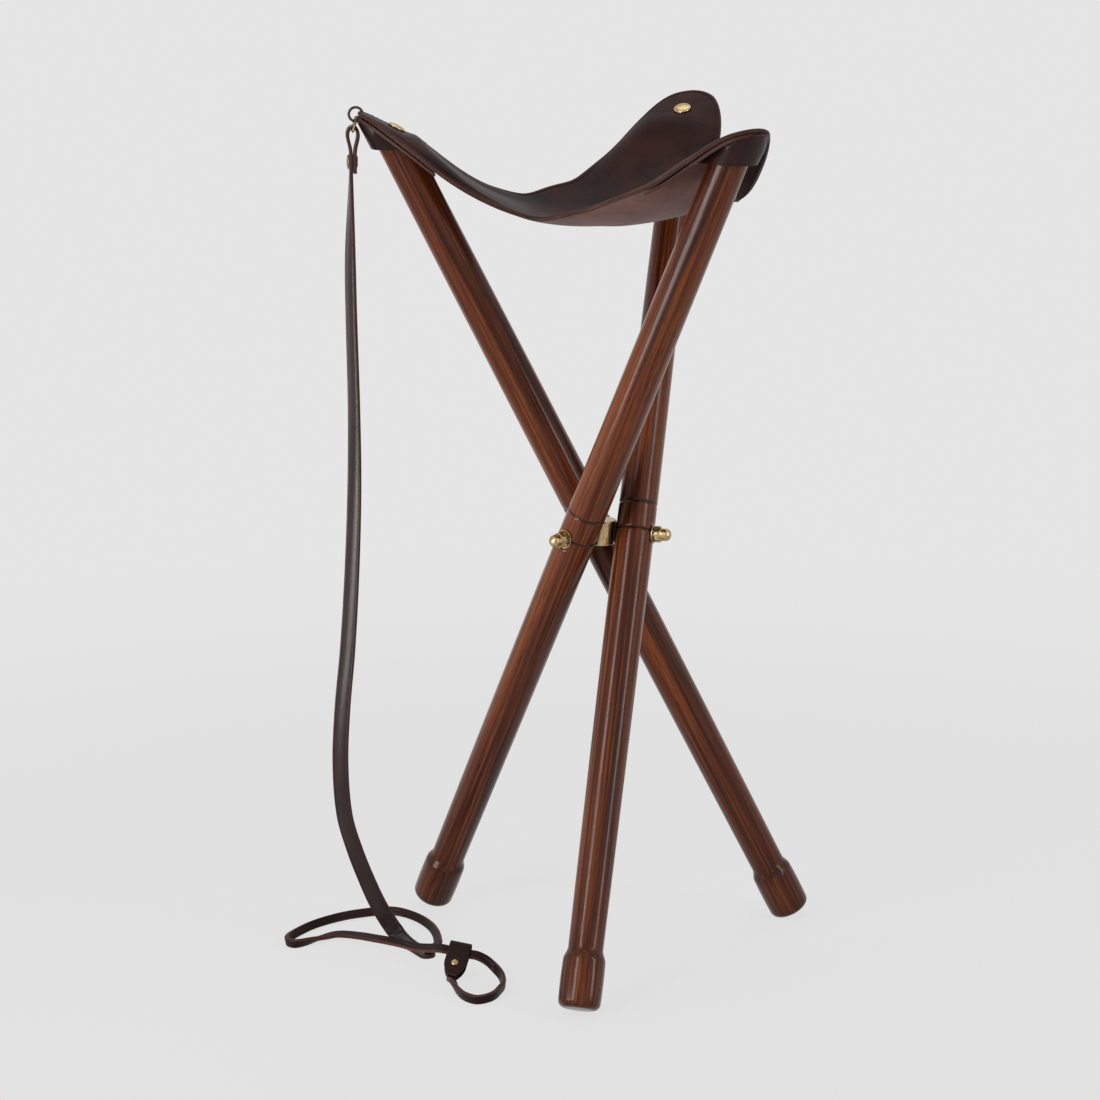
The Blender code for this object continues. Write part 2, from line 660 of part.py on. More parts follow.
link_half_width = STRAP_WIDTH / 2 + LINK_WIRE + 5 * FIT
link_middle = ring_middle - UP * (RING_RADIUS - RING_WIRE - LINK_WIRE - FIT + LINK_HALF_HEIGHT)
circle = [(RING_RADIUS * math.cos(math.radians(15 * i)), RING_RADIUS * math.sin(math.radians(15 * i)))
          for i in range(24)]
wire_loop("corner_ring", circle, RING_WIRE, dark_steel, frame_from(corner_out, corner_side, ring_middle))
oval = rounded_rectangle(link_half_width, LINK_HALF_HEIGHT, min(LINK_ROUND, LINK_HALF_HEIGHT), 4)
wire_loop("link_ring", oval, LINK_WIRE, brass, frame_from(corner_side, corner_out, link_middle))
link_bottom = link_middle - UP * LINK_HALF_HEIGHT


# Straps: flat strips swept along smooth curves through a few points of their routes.
def smooth_route(points, spans):
    """A curve through the points, each a position and one turning angle, as a list of such points."""
    lengths = [(Vector(b[:3]) - Vector(a[:3])).length for a, b in zip(points, points[1:])]
    ends = [points[0]] + points + [points[-1]]
    steps = [lengths[0]] + lengths + [lengths[-1]]
    found = []
    for i, h in enumerate(lengths):
        a, b, c, d = ends[i:i + 4]
        for j in range(spans):
            t = j / spans
            at = []
            for p, q, r, s in zip(a, b, c, d):
                leave = (r - p) / (steps[i] + h) * h
                arrive = (s - q) / (h + steps[i + 2]) * h
                at.append(q + leave * t + (3 * (r - q) - 2 * leave - arrive) * t ** 2
                          + (leave + arrive - 2 * (r - q)) * t ** 3)
            found.append(at)
    return found + [list(points[-1])]


def strip(name, centres, sides, width, thickness):
    """A strip along the centres, its half-widths along the sides."""
    count = len(centres) - 1
    shape = bmesh.new()
    bmesh.ops.create_grid(shape, x_segments=count, y_segments=1, size=1.0)
    for vert in shape.verts:
        i = round((vert.co.x + 1) / 2 * count)
        vert.co = centres[i] + sides[i] * (vert.co.y * width / 2)
    part = add_part(name, mesh_of(name, shape), strap_leather, left_parent, to_left)
    solidify(part, thickness, 0)
    return part


# The wide strap's route: its fold over the link ring, then distances outwards, sideways, up, and its turn.
fold = [(-0.38, -STRAP_TAIL), (-0.38, -0.020), (-0.5, -0.014), (-1.0, -0.004), (-0.76, 0.0012), (0.0, 0.0031),
        (0.76, 0.0012), (1.0, -0.004), (0.5, -0.014), (0.38, -0.020), (0.38, -STRAP_TAIL)]
fold_turn = math.degrees(LEG_ANGLES["left"] + CORNER_LEAD) + 90 - 360
hang = [(-0.2033, 0.0336, 0.590, -80), (-0.2029, 0.0340, 0.540, -71), (-0.2014, 0.0355, 0.466, -65),
        (-0.2015, 0.0375, 0.398, -56), (-0.2039, 0.0400, 0.328, -51), (-0.2078, 0.0430, 0.261, -47),
        (-0.2123, 0.0455, 0.210, -43), (-0.2143, 0.0475, 0.162, -40), (-0.2112, 0.0490, 0.116, -36),
        (-0.2023, 0.0500, 0.083, -30), (-0.1896, 0.0505, 0.049, -22), (-0.1811, 0.0505, 0.030, -14),
        (-0.1731, 0.0490, 0.0158, -9), (-0.1668, 0.0462, 0.0066, -2), (-0.1612, 0.0342, 0.0026, 10),
        (-0.1550, 0.0145, 0.0018, 24), (-0.1500, -0.0050, 0.0017, 25)]
strap_points = []
for share, lift in fold:
    at = link_bottom + corner_out * (share * STRAP_FOLD) + UP * lift
    strap_points.append((*at, fold_turn))
strap_points += hang
strap_route = smooth_route(strap_points, 3)
strap_sides = [Vector((math.cos(math.radians(p[3])), math.sin(math.radians(p[3])), 0)) for p in strap_route]
strap = strip("strap", [Vector(p[:3]) for p in strap_route], strap_sides, STRAP_WIDTH, STRAP_THICK)


def make_rivet(name, parent, place, head, rise, shank, half, holed):
    """A domed head outside, a flat burr inside, and a hole through each piece that it holds."""
    to_parent = parent.matrix_basis.inverted()
    outline = dome(head, half + FIT + rise / 5, rise * 0.8, 4) + [(head, half + FIT), (shank, half + FIT)]
    outline += [(shank, -half - FIT), (0.8 * head, -half - FIT), (0.8 * head, -half - FIT - rise / 3)]
    outline += [(0.0, -half - FIT - rise / 3)]
    rivet = add_part(name, profile_mesh(name, outline), brass, parent, to_parent @ place)
    turn(rivet, 16)
    hole = cylinder_mesh(name + "_cut", shank + FIT, -4 * half, 4 * half, 12)
    cutter = add_cutter(name + "_cut", hole, parent, to_parent @ place)
    for part in holed:
        combine(part, cutter)


rivet_frame = frame_from(UP, corner_out, link_bottom - UP * RIVET_BELOW)
make_rivet("strap_rivet", left_parent, rivet_frame, RIVET_HEAD, RIVET_RISE, RIVET_RADIUS,
           0.38 * STRAP_FOLD + STRAP_THICK / 2, [strap])

# The loop strap's route: sewn onto the strap's end, round on its edge, through the keeper and back into it.
# Each point has its place and its roll in degrees; one with no height rests on the floor.
keeper_along = (Vector((math.cos(KEEPER_TURN), math.sin(KEEPER_TURN), 0)) * math.cos(KEEPER_DIP)
                - UP * math.sin(KEEPER_DIP))
keeper_level = keeper_along.cross(UP).normalized()
keeper_rise = keeper_level.cross(keeper_along)
keeper_flap = keeper_level * math.cos(KEEPER_TILT) + keeper_rise * math.sin(KEEPER_TILT)
keeper_square = keeper_flap.cross(keeper_along)
tail_level = -keeper_flap.cross(UP).normalized()
tail_rise = -tail_level.cross(keeper_flap)
tail_roll = math.degrees(math.atan2(keeper_along.dot(tail_rise), keeper_along.dot(tail_level)))
loop_lap = STRAP_THICK + FIT + LOOP_THICK / 2 + 0.0004
first_lay = [(-0.1515, 0.0010, loop_lap, 0), (-0.1470, 0.0050, loop_lap, 0), (-0.1395, 0.0145, 0.0060, 22),
             (-0.1360, 0.0275, None, 45), (-0.1335, 0.0455, None, 58), (-0.1335, 0.0645, None, 62),
             (-0.1375, 0.0850, None, 62), (-0.1450, 0.1020, None, 62), (-0.1540, 0.1125, None, 62),
             (-0.1650, 0.1165, None, 62), (-0.1770, 0.1160, None, 62), (-0.1965, 0.1125, None, 62),
             (-0.2155, 0.1045, None, 62), (-0.2325, 0.0935, None, 64), (-0.2475, 0.0790, None, 68),
             (-0.2575, 0.0665, None, 74), (-0.2600, 0.0570, None, 80), (-0.2550, 0.0500, None, 75),
             (-0.2425, 0.0535, None, 50), (-0.2285, 0.0640, None, 12), (-0.2155, 0.0660, 0.0042, -6),
             (-0.2010, 0.0550, 0.0055, -14), (-0.1880, 0.0355, 0.0080, -20), (-0.1740, 0.0110, 0.0112, -28),
             (-0.1630, -0.0165, 0.0152, -35)]
through = [KEEPER_AT + keeper_along * d for d in (-0.016, -0.008, 0.0, 0.008, 0.016)]
small_loop = [(-0.1140, -0.0595, 0.0135, -52), (-0.1085, -0.0650, 0.0085, -68), (-0.1060, -0.0740, 0.0055, -78),
              (-0.1065, -0.0830, None, -82), (-0.1090, -0.0940, None, -84), (-0.1140, -0.1040, None, -84),
              (-0.1245, -0.1190, None, -84), (-0.1380, -0.1240, None, -84), (-0.1460, -0.1135, None, -80),
              (-0.1485, -0.0950, None, -70), (-0.1480, -0.0800, 0.0050, -40)]
tucked = [KEEPER_AT + keeper_flap * d for d in (0.026, 0.018, 0.009)]


def loop_point(x, y, height, roll):
    """A point of the loop strap's route, on the floor where no height is given."""
    if height is None:
        tipped = math.radians(abs(roll))
        height = LOOP_WIDTH / 2 * math.sin(tipped) + LOOP_THICK / 2 * math.cos(tipped) + FIT
    return x, y, height, roll


loop_points = [loop_point(*p) for p in first_lay] + [(*p, math.degrees(KEEPER_TILT)) for p in through]
loop_points += [loop_point(*p) for p in small_loop] + [(*p, tail_roll) for p in tucked]
loop_route = smooth_route(loop_points, 3)
loop_centres = [Vector(p[:3]) for p in loop_route]
loop_sides = []
for i, p in enumerate(loop_route):
    ahead = loop_centres[min(i + 1, len(loop_route) - 1)] - loop_centres[max(i - 1, 0)]
    level = ahead.cross(UP).normalized()
    square_up = level.cross(ahead).normalized()
    loop_sides.append(level * math.cos(math.radians(p[3])) + square_up * math.sin(math.radians(p[3])))
loop_strap = strip("loop_strap", loop_centres, loop_sides, LOOP_WIDTH, LOOP_THICK)


# The keeper: a tab folded round the loop strap, its two flaps riveted over the strap's end.
def keeper_point(u, v):
    gap = LOOP_THICK / 2 + 2 * FIT + KEEPER_THICK / 2
    crease = -(LOOP_WIDTH / 2 + 3 * FIT)
    flat = KEEPER_LENGTH - crease
    bend = math.pi * gap
    run = v * (2 * flat + bend)
    if run < flat:
        along, lift = KEEPER_LENGTH - run, gap
    elif run < flat + bend:
        angle = (run - flat) / gap
        along, lift = crease - gap * math.sin(angle), gap * math.cos(angle)
    else:
        along, lift = crease + run - flat - bend, -gap
    taper = max((along - 0.5 * KEEPER_LENGTH) / (0.5 * KEEPER_LENGTH), 0)
    half = KEEPER_HALF * (1 - 0.55 * taper ** 2)
    return KEEPER_AT + keeper_along * (u * half) + keeper_flap * along + keeper_square * lift


keeper_shape = bmesh.new()
bmesh.ops.create_grid(keeper_shape, x_segments=2, y_segments=24, size=1.0)
for keeper_vert in keeper_shape.verts:
    keeper_vert.co = keeper_point(keeper_vert.co.x, (keeper_vert.co.y + 1) / 2)
keeper = add_part("keeper", mesh_of("keeper", keeper_shape), strap_leather, left_parent, to_left)
solidify(keeper, KEEPER_THICK, 0)
keeper_rivet_frame = frame_from(keeper_along, keeper_square, KEEPER_AT + keeper_flap * KEEPER_RIVET_AT)
make_rivet("keeper_rivet", left_parent, keeper_rivet_frame, KEEPER_RIVET_HEAD, 0.0016, KEEPER_RIVET_RADIUS,
           LOOP_THICK / 2 + 2 * FIT + KEEPER_THICK, [keeper, loop_strap])

# Stand the stool on the floor, with the box round it (its straps left out) over the origin.
bpy.context.view_layer.update()
graph = bpy.context.evaluated_depsgraph_get()
loose = {"corner_ring", "link_ring", "strap", "strap_rivet", "loop_strap", "keeper", "keeper_rivet"}
corners = []
for solid in parts.objects:
    if solid.type == "EMPTY" or solid.name in loose:
        continue
    shaped = solid.evaluated_get(graph)
    shown = shaped.to_mesh()
    corners += [shaped.matrix_world @ vert.co for vert in shown.vertices]
    shaped.to_mesh_clear()
low = Vector(min(c[i] for c in corners) for i in range(3))
high = Vector(max(c[i] for c in corners) for i in range(3))
stool.location = (-(low.x + high.x) / 2, -(low.y + high.y) / 2, -low.z)
for solid in parts.objects:
    if solid.type == "MESH":
        solid.data.shade_smooth()
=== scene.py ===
import json
from math import asin, atan2, copysign, cos, degrees, exp, hypot, pi, radians, sin, sqrt, tan

import bmesh
import bpy
from mathutils import Matrix, Vector


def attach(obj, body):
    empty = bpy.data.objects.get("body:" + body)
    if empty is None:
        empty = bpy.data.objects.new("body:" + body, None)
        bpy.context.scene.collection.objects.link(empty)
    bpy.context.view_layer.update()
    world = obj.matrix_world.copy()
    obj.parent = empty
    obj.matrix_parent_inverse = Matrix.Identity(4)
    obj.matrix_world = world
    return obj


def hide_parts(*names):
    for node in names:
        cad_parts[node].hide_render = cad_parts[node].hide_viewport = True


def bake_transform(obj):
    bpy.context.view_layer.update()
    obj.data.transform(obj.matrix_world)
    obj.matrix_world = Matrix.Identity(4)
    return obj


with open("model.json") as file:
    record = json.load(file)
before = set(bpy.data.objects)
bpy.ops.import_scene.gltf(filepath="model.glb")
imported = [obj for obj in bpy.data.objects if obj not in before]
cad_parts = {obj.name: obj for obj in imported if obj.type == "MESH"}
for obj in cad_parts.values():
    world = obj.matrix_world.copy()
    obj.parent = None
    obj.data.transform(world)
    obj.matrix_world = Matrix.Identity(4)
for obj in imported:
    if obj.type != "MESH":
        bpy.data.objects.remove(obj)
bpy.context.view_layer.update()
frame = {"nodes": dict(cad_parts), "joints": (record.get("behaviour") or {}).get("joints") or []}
hubCentre = Vector(frame["joints"][0]["pos_m"])
up = Vector((0, 0, 1))
print("frame in, hub at", [round(c, 4) for c in hubCentre])

# shared sizes as in the solids, in metres and radians
stool = {
    "lean": radians(27.1),
    "pivotOut": 0.0284,
    "legFace": 0.0149,
    "bevelAt": 0.374,
    "tongueRise": radians(26.565),
    "turns": {"left": radians(90), "right": radians(210), "rear": radians(330)},
    "fit": 0.0003,
}
sides = list(stool["turns"])
bodyOf = {side: side + "_leg_set" for side in sides}
bevelOut = hypot(stool["bevelAt"] * sin(stool["lean"]), stool["pivotOut"])
bevelRise = stool["bevelAt"] * cos(stool["lean"])
cornerLead = atan2(stool["bevelAt"] * sin(stool["lean"]), stool["pivotOut"])
floorShift = Vector((hubCentre.x, hubCentre.y, 0))


def smoothStep(low, high, value):
    t = min(max((value - low) / (high - low), 0.0), 1.0)
    return t * t * (3 - 2 * t)


def between(start, end, count):  # evenly spaced, with both ends
    return [start + (end - start) * i / count for i in range(count + 1)]


def fullTurn(count):
    return between(0, 2 * pi, count)[:-1]


def levelWay(turn):
    return Vector((cos(turn), sin(turn), 0))


def frameFrom(xAxis, zAxis, origin):
    zAxis = zAxis.normalized()
    yAxis = zAxis.cross(xAxis).normalized()
    turned = Matrix((yAxis.cross(zAxis), yAxis, zAxis)).transposed()
    return Matrix.Translation(origin) @ turned.to_4x4()


def studOut(side):
    return levelWay(stool["turns"][side])


def legFrame(side):  # origin on the pivot, X along the stud, Z up the leg
    out = studOut(side)
    along = up * cos(stool["lean"]) + up.cross(out) * sin(stool["lean"])
    return frameFrom(out, along, hubCentre + out * stool["pivotOut"])


def studFrame(side):  # origin at the hub's middle, Z out along the stud
    return frameFrom(up, studOut(side), hubCentre)


def cornerTurn(side):
    return stool["turns"][side] + cornerLead


def cornerOut(side):
    return levelWay(cornerTurn(side))


def tongueFrame(side):  # origin in the middle of the leg's slanted top, Z square to the tongue
    out = cornerOut(side)
    rise = stool["tongueRise"]
    middle = hubCentre + out * bevelOut + up * bevelRise
    return frameFrom(out * cos(rise) + up * sin(rise),
                     up * cos(rise) - out * sin(rise), middle)


# pieces
def newObject(name, data):
    made = bpy.data.objects.new(name, data)
    bpy.context.scene.collection.objects.link(made)
    return made


def addPiece(name, mesh, materials, body=None, place=None):
    piece = newObject(name, mesh)
    for material in materials:
        mesh.materials.append(material)
    if place is not None:
        piece.matrix_world = place
    bpy.context.view_layer.update()
    if body:
        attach(piece, body)
    return piece


def finishMesh(name, shape, sharpAngle=40):
    bmesh.ops.recalc_face_normals(shape, faces=shape.faces)
    mesh = bpy.data.meshes.new(name)
    shape.to_mesh(mesh)
    shape.free()
    mesh.shade_smooth()
    mesh.set_sharp_from_angle(angle=radians(sharpAngle))
    return mesh


def ringStack(name, rows, count, sharpAngle=40, closed=False):
    # each row is (radius or a function of the turn, height or a function of the turn)
    shape = bmesh.new()
    rings = []
    for radius, height in rows:
        if radius == 0:
            rings.append([shape.verts.new((0, 0, height))])
            continue
        ring = []
        for turn in fullTurn(count):
            r = radius(turn) if callable(radius) else radius
            z = height(turn) if callable(height) else height
            ring.append(shape.verts.new((r * cos(turn), r * sin(turn), z)))
        rings.append(ring)
    pairs = list(zip(rings, rings[1:])) + ([(rings[-1], rings[0])] if closed else [])
    for a, b in pairs:
        for i in range(count):
            k = (i + 1) % count
            if len(a) == 1:
                shape.faces.new((a[0], b[i], b[k]))
            elif len(b) == 1:
                shape.faces.new((a[i], b[0], a[k]))
            else:
                shape.faces.new((a[i], b[i], b[k], a[k]))
    return finishMesh(name, shape, sharpAngle)


def tube(name, points, radius, around):  # a closed wire through the points
    shape = bmesh.new()
    rings = []
    total = len(points)
    normal = (points[1] - points[0]).cross(points[2] - points[1]).normalized()
    for i, point in enumerate(points):
        ahead = (points[(i + 1) % total] - points[i - 1]).normalized()
        side = ahead.cross(normal).normalized()
        rings.append([shape.verts.new(point + radius * (side * cos(turn) + normal * sin(turn)))
                      for turn in fullTurn(around)])
    for a, b in zip(rings, rings[1:] + rings[:1]):
        for k in range(around):
            n = (k + 1) % around
            shape.faces.new((a[k], b[k], b[n], a[n]))
    return finishMesh(name, shape)


def dome(radius, base, rise, count):  # from the top down
    turns = between(pi / 2, 0, count)[1:]
    return [(0, base + rise)] + [(radius * cos(t), base + rise * sin(t)) for t in turns]


def arc(x, z, radius, start, end, count):
    turns = [radians(turn) for turn in between(start, end, count)]
    return [(x + radius * cos(t), z + radius * sin(t)) for t in turns]


# materials
def feedAll(tree, node, inputs):  # each value is a socket to link, a colour or a plain value
    for key, value in inputs.items():
        socket = node.inputs[key]
        if isinstance(value, bpy.types.NodeSocket):
            tree.links.new(value, socket)
        elif socket.type == "RGBA":
            socket.default_value = (*value, 1)
        else:
            socket.default_value = value
    return node


def addNode(tree, kind, inputs, **settings):
    node = tree.nodes.new("ShaderNode" + kind)
    for name, value in settings.items():
        setattr(node, name, value)
    return feedAll(tree, node, inputs)


def newMaterial(name, inputs):
    material = bpy.data.materials.new(name)
    material.use_nodes = True
    tree = material.node_tree
    return material, tree, feedAll(tree, tree.nodes["Principled BSDF"], inputs)


def localNoise(tree, scale, detail, stretch=(1, 1, 1), rough=0.55):
    coords = addNode(tree, "TexCoord", {})
    mapping = addNode(tree, "Mapping", {"Vector": coords.outputs["Object"], "Scale": stretch})
    pattern = addNode(tree, "TexNoise", {"Vector": mapping.outputs["Vector"], "Scale": scale,
                                         "Detail": detail, "Roughness": rough})
    return pattern.outputs["Fac"]


def ramp(tree, source, places, colours):
    found = addNode(tree, "ValToRGB", {"Fac": source})
    elements = found.color_ramp.elements
    for end in (0, -1):
        elements[end].position, elements[end].color = places[end], (*colours[end], 1)
    for at, colour in list(zip(places, colours))[1:-1]:
        elements.new(at).color = (*colour, 1)
    return found.outputs["Color"]


def spread(tree, source, low, high):  # 0..1 to low..high
    return addNode(tree, "MapRange", {"Value": source, "To Min": low, "To Max": high}).outputs["Result"]


def mixColor(tree, share, first, second, kind="MIX"):
    mixed = addNode(tree, "Mix", {}, data_type="RGBA", blend_type=kind)
    return feedAll(tree, mixed, {0: share, 6: first, 7: second}).outputs[2]


def addBump(tree, shader, source, strength, distance):
    bump = addNode(tree, "Bump", {"Height": source, "Strength": strength, "Distance": distance})
    normal = shader.inputs["Normal"]
    if normal.links:
        tree.links.new(normal.links[0].from_socket, bump.inputs["Normal"])
    tree.links.new(bump.outputs["Normal"], normal)


black, white = (0, 0, 0), (1, 1, 1)
# in the finishes, patterns are scale, detail, stretch and roughness; dents and depths are strength and metres
woodLook = {
    "dark": (0.014, 0.0032, 0.0017), "mid": (0.062, 0.0128, 0.0036), "light": (0.124, 0.0298, 0.0072),
    # the last colour in the next row is painted shade for the grooves, under the shoulder and near the floor
    "bright": (0.178, 0.0490, 0.0115), "pore": (0.012, 0.0035, 0.002), "paintedShadeTone": (0.008, 0.003, 0.002),
    "broad": (1, 3, (90, 90, 2.6)), "fine": (1, 5, (420, 420, 6)), "pores": (1, 2, (1100, 1100, 30), 0.7),
    "fineShare": 0.58, "tonesAt": (0.36, 0.46, 0.55, 0.66), "poreEdge": (0.58, 0.66), "poreShare": 0.8,
    "plainRough": 0.3, "rough": (0.34, 0.24), "specular": 0.10, "coat": 0.5, "coatRough": 0.1,
    "coatIor": 1.3, "dent": (0.25, 0.00025),
}


def makeWood():
    material, tree, shader = newMaterial("varnishedMahogany", {"Base Color": woodLook["mid"],
                                                               "Roughness": woodLook["plainRough"]})
    broad, fine, pores = [localNoise(tree, *woodLook[kind]) for kind in ("broad", "fine", "pores")]
    figure = addNode(tree, "Mix", {"Factor": woodLook["fineShare"], "A": broad, "B": fine}).outputs["Result"]
    tones = [woodLook[tone] for tone in ("dark", "mid", "light", "bright")]
    body = ramp(tree, figure, woodLook["tonesAt"], tones)
    dots = ramp(tree, pores, woodLook["poreEdge"], (black, white))
    colour = mixColor(tree, spread(tree, dots, 0.0, woodLook["poreShare"]), body, woodLook["pore"])
    # painted shade: the colour is pulled towards a dark brown in the grooves, under the shoulder and near the
    # floor
    paintedShade = addNode(tree, "Attribute", {}, attribute_name="paintedShade")
    feedAll(tree, shader, {
        "Base Color": mixColor(tree, paintedShade.outputs["Fac"], colour, woodLook["paintedShadeTone"]),
        "Roughness": spread(tree, fine, *woodLook["rough"]),
        "Specular IOR Level": woodLook["specular"],
        "Coat Weight": woodLook["coat"],
        "Coat Roughness": woodLook["coatRough"],
        "Coat IOR": woodLook["coatIor"],
    })
    addBump(tree, shader, dots, *woodLook["dent"])
    return material


leatherLook = {"patches": (28, 5), "patchEdge": (0.32, 0.72), "smears": (9, 3, (1, 2.2, 1)),
               "cellDepth": (0.16, 0.0004), "creases": (190, 4), "creaseDepth": (0.10, 0.0006)}


def makeLeather(name, dark, light, rough, grain, gloss):
    material, tree, shader = newMaterial(name, {"Base Color": dark, "Roughness": rough[0]})
    patches = localNoise(tree, *leatherLook["patches"])
    smears = localNoise(tree, *leatherLook["smears"])
    feedAll(tree, shader, {
        "Base Color": ramp(tree, patches, leatherLook["patchEdge"], (dark, light)),
        "Roughness": spread(tree, smears, *rough),
        "Specular IOR Level": gloss,
    })
    coords = addNode(tree, "TexCoord", {})
    cells = addNode(tree, "TexVoronoi", {"Vector": coords.outputs["Object"], "Scale": grain})
    addBump(tree, shader, cells.outputs["Distance"], *leatherLook["cellDepth"])
    addBump(tree, shader, localNoise(tree, *leatherLook["creases"]), *leatherLook["creaseDepth"])
    return material


suedeLook = {"fibres": (520, 5), "fibreEdge": (0.3, 0.7), "fibreTint": (0.62, 0.6, 0.58), "fibreShare": 0.6,
             "patches": (22, 5), "patchEdge": (0.30, 0.70), "specular": 0.2, "nap": (0.35, 0.0006)}


def makeSuede(name, dark, light, rough=0.92, sheen=0.12):
    material, tree, shader = newMaterial(name, {"Base Color": dark, "Roughness": rough, "Sheen Weight": sheen,
                                                "Specular IOR Level": suedeLook["specular"]})
    fibres = localNoise(tree, *suedeLook["fibres"])
    patches = localNoise(tree, *suedeLook["patches"])
    body = ramp(tree, patches, suedeLook["patchEdge"], (dark, light))
    tint = ramp(tree, fibres, suedeLook["fibreEdge"], (suedeLook["fibreTint"], white))
    feedAll(tree, shader, {"Base Color": mixColor(tree, suedeLook["fibreShare"], body, tint, "MULTIPLY")})
    addBump(tree, shader, fibres, *suedeLook["nap"])
    return material


metalLook = {"patches": (240, 5), "patchEdge": (0.36, 0.58), "marks": (1500, 3), "markDepth": (0.06, 0.0002)}


def makeMetal(name, clean, tarnish, rough):
    material, tree, shader = newMaterial(name, {"Base Color": clean, "Metallic": 1, "Roughness": rough[0]})
    patches = localNoise(tree, *metalLook["patches"])
    feedAll(tree, shader, {
        "Base Color": ramp(tree, patches, metalLook["patchEdge"], (tarnish, clean)),
        "Roughness": spread(tree, patches, rough[1], rough[0]),
    })
    addBump(tree, shader, localNoise(tree, *metalLook["marks"]), *metalLook["markDepth"])
    return material


wood = makeWood()
seatLeather = makeLeather("seatLeather", dark=(0.0088, 0.0026, 0.0021), light=(0.042, 0.0128, 0.0096),
                          rough=(0.36, 0.50), grain=900, gloss=0.06)
pocketLeather = makeLeather("pocketLeather", dark=(0.0085, 0.0028, 0.0023), light=(0.028, 0.0092, 0.0072),
                            rough=(0.26, 0.38), grain=900, gloss=0.16)
strapLeather = makeLeather("strapLeather", dark=(0.0105, 0.0046, 0.0042), light=(0.027, 0.0115, 0.0100),
                           rough=(0.24, 0.34), grain=1100, gloss=0.30)
loopLeather = makeLeather("loopLeather", dark=(0.0075, 0.0030, 0.0025), light=(0.024, 0.0090, 0.0070),
                          rough=(0.40, 0.52), grain=1100, gloss=0.12)
cutEdge = makeSuede("burnishedEdge", dark=(0.030, 0.0095, 0.0062), light=(0.075, 0.027, 0.019),
                    rough=0.5, sheen=0.0)
rubbedEdge = makeSuede("rubbedEdge", dark=(0.046, 0.0150, 0.0100), light=(0.125, 0.044, 0.031))
fleshSide = makeSuede("fleshSide", dark=(0.072, 0.0245, 0.0178), light=(0.208, 0.090, 0.068))
fibre = makeSuede("redFibre", dark=(0.035, 0.016, 0.011), light=(0.055, 0.026, 0.018))
thread = makeSuede("waxedThread", dark=(0.024, 0.010, 0.008), light=(0.060, 0.030, 0.024))
brass = makeMetal("polishedBrass", clean=(0.52, 0.385, 0.20), tarnish=(0.36, 0.25, 0.115),
                  rough=(0.18, 0.30))
oldBrass = makeMetal("agedBrass", clean=(0.27, 0.195, 0.105), tarnish=(0.10, 0.068, 0.036),
                     rough=(0.30, 0.48))
darkSteel = makeMetal("darkenedSteel", clean=(0.075, 0.068, 0.062), tarnish=(0.035, 0.030, 0.028),
                      rough=(0.32, 0.5))
toothSteel = makeMetal("toothedSteel", clean=(0.42, 0.37, 0.29), tarnish=(0.22, 0.19, 0.14),
                       rough=(0.28, 0.42))
print("materials ready")

# legs
legLook = {
    "radius": 0.016, "topRadius": 0.0147, "neckRadius": 0.0143, "taper": 1.4, "lower": 0.397, "beyond": 0.016,
    "topInset": 0.001, "topFrom": 0.3, "tongueGap": 0.0004, "spotRadius": 0.0095,
    "footRadius": 0.0173, "footLength": 0.049, "shoulder": 0.010, "footRound": 0.006, "footSwell": 0.0003,
    "grooves": (0.0245, 0.0015), "grooveHalf": 0.0009, "grooveDepth": 0.0009,
    # levels of the rows of points, and how many rows
    "upper": (0.03, 26), "middle": (0.0345, -0.0111, 57), "lowerFrom": -0.0115, "lowerRows": 22,
    "shoulderRows": 8, "footRows": 4, "roundRows": 7, "around": 64,
}
# strength and reach of the painted shade on the legs
legShade = {"neck": 0.30, "neckDown": 0.006, "neckHalf": 0.006, "foot": 0.25, "footFrom": 0.012,
            "groove": 0.9, "grooveHalf": 0.0011, "most": 0.92}
legNeck = legLook["footLength"] - legLook["lower"]


def legRadius(s):
    end, endRadius = (stool["bevelAt"], legLook["topRadius"]) if s > 0 else (-legNeck, legLook["neckRadius"])
    return legLook["radius"] + (endRadius - legLook["radius"]) * min(abs(s) / end, 1) ** legLook["taper"]


def legLevels(top):  # closest together round the grooves
    levels = between(top, *legLook["upper"])[:-1] + between(*legLook["middle"])[:-1]
    return levels + between(legLook["lowerFrom"], legNeck, legLook["lowerRows"])[1:]


def legOutline():
    top = stool["bevelAt"] + legLook["beyond"]
    rows = [(0, top), (legRadius(top) - legLook["topInset"], top)]
    for s in legLevels(top):
        r = legRadius(s)
        for groove in legLook["grooves"]:
            r -= legLook["grooveDepth"] * exp(-((s - groove) / legLook["grooveHalf"]) ** 4)
        rows.append((r, s))
    rise = legLook["footRadius"] - legLook["neckRadius"]
    for t in between(0, 1, legLook["shoulderRows"])[1:]:
        rows.append((legLook["neckRadius"] + rise * smoothStep(0, 1, t), legNeck - legLook["shoulder"] * t))
    straight = legLook["footLength"] - legLook["shoulder"] - legLook["footRound"]
    for t in between(0, 1, legLook["footRows"])[1:-1]:
        rows.append((legLook["footRadius"] + legLook["footSwell"] * sin(pi * t),
                     legNeck - legLook["shoulder"] - straight * t))
    rows += arc(legLook["footRadius"] - legLook["footRound"], legLook["footRound"] - legLook["lower"],
                legLook["footRound"], 0, -90, legLook["roundRows"])
    return rows + [(0, -legLook["lower"])]


def paintedShadeAt(s):  # painted shade: darker in the grooves, under the shoulder and at the floor, where shade falls
    foot = -legLook["lower"]
    dark = legShade["neck"] * exp(-((s - legNeck + legShade["neckDown"]) / legShade["neckHalf"]) ** 2)
    dark += legShade["foot"] * smoothStep(foot + legShade["footFrom"], foot, s)
    for groove in legLook["grooves"]:
        dark += legShade["groove"] * exp(-((s - groove) / legShade["grooveHalf"]) ** 2)
    return min(dark, legShade["most"])


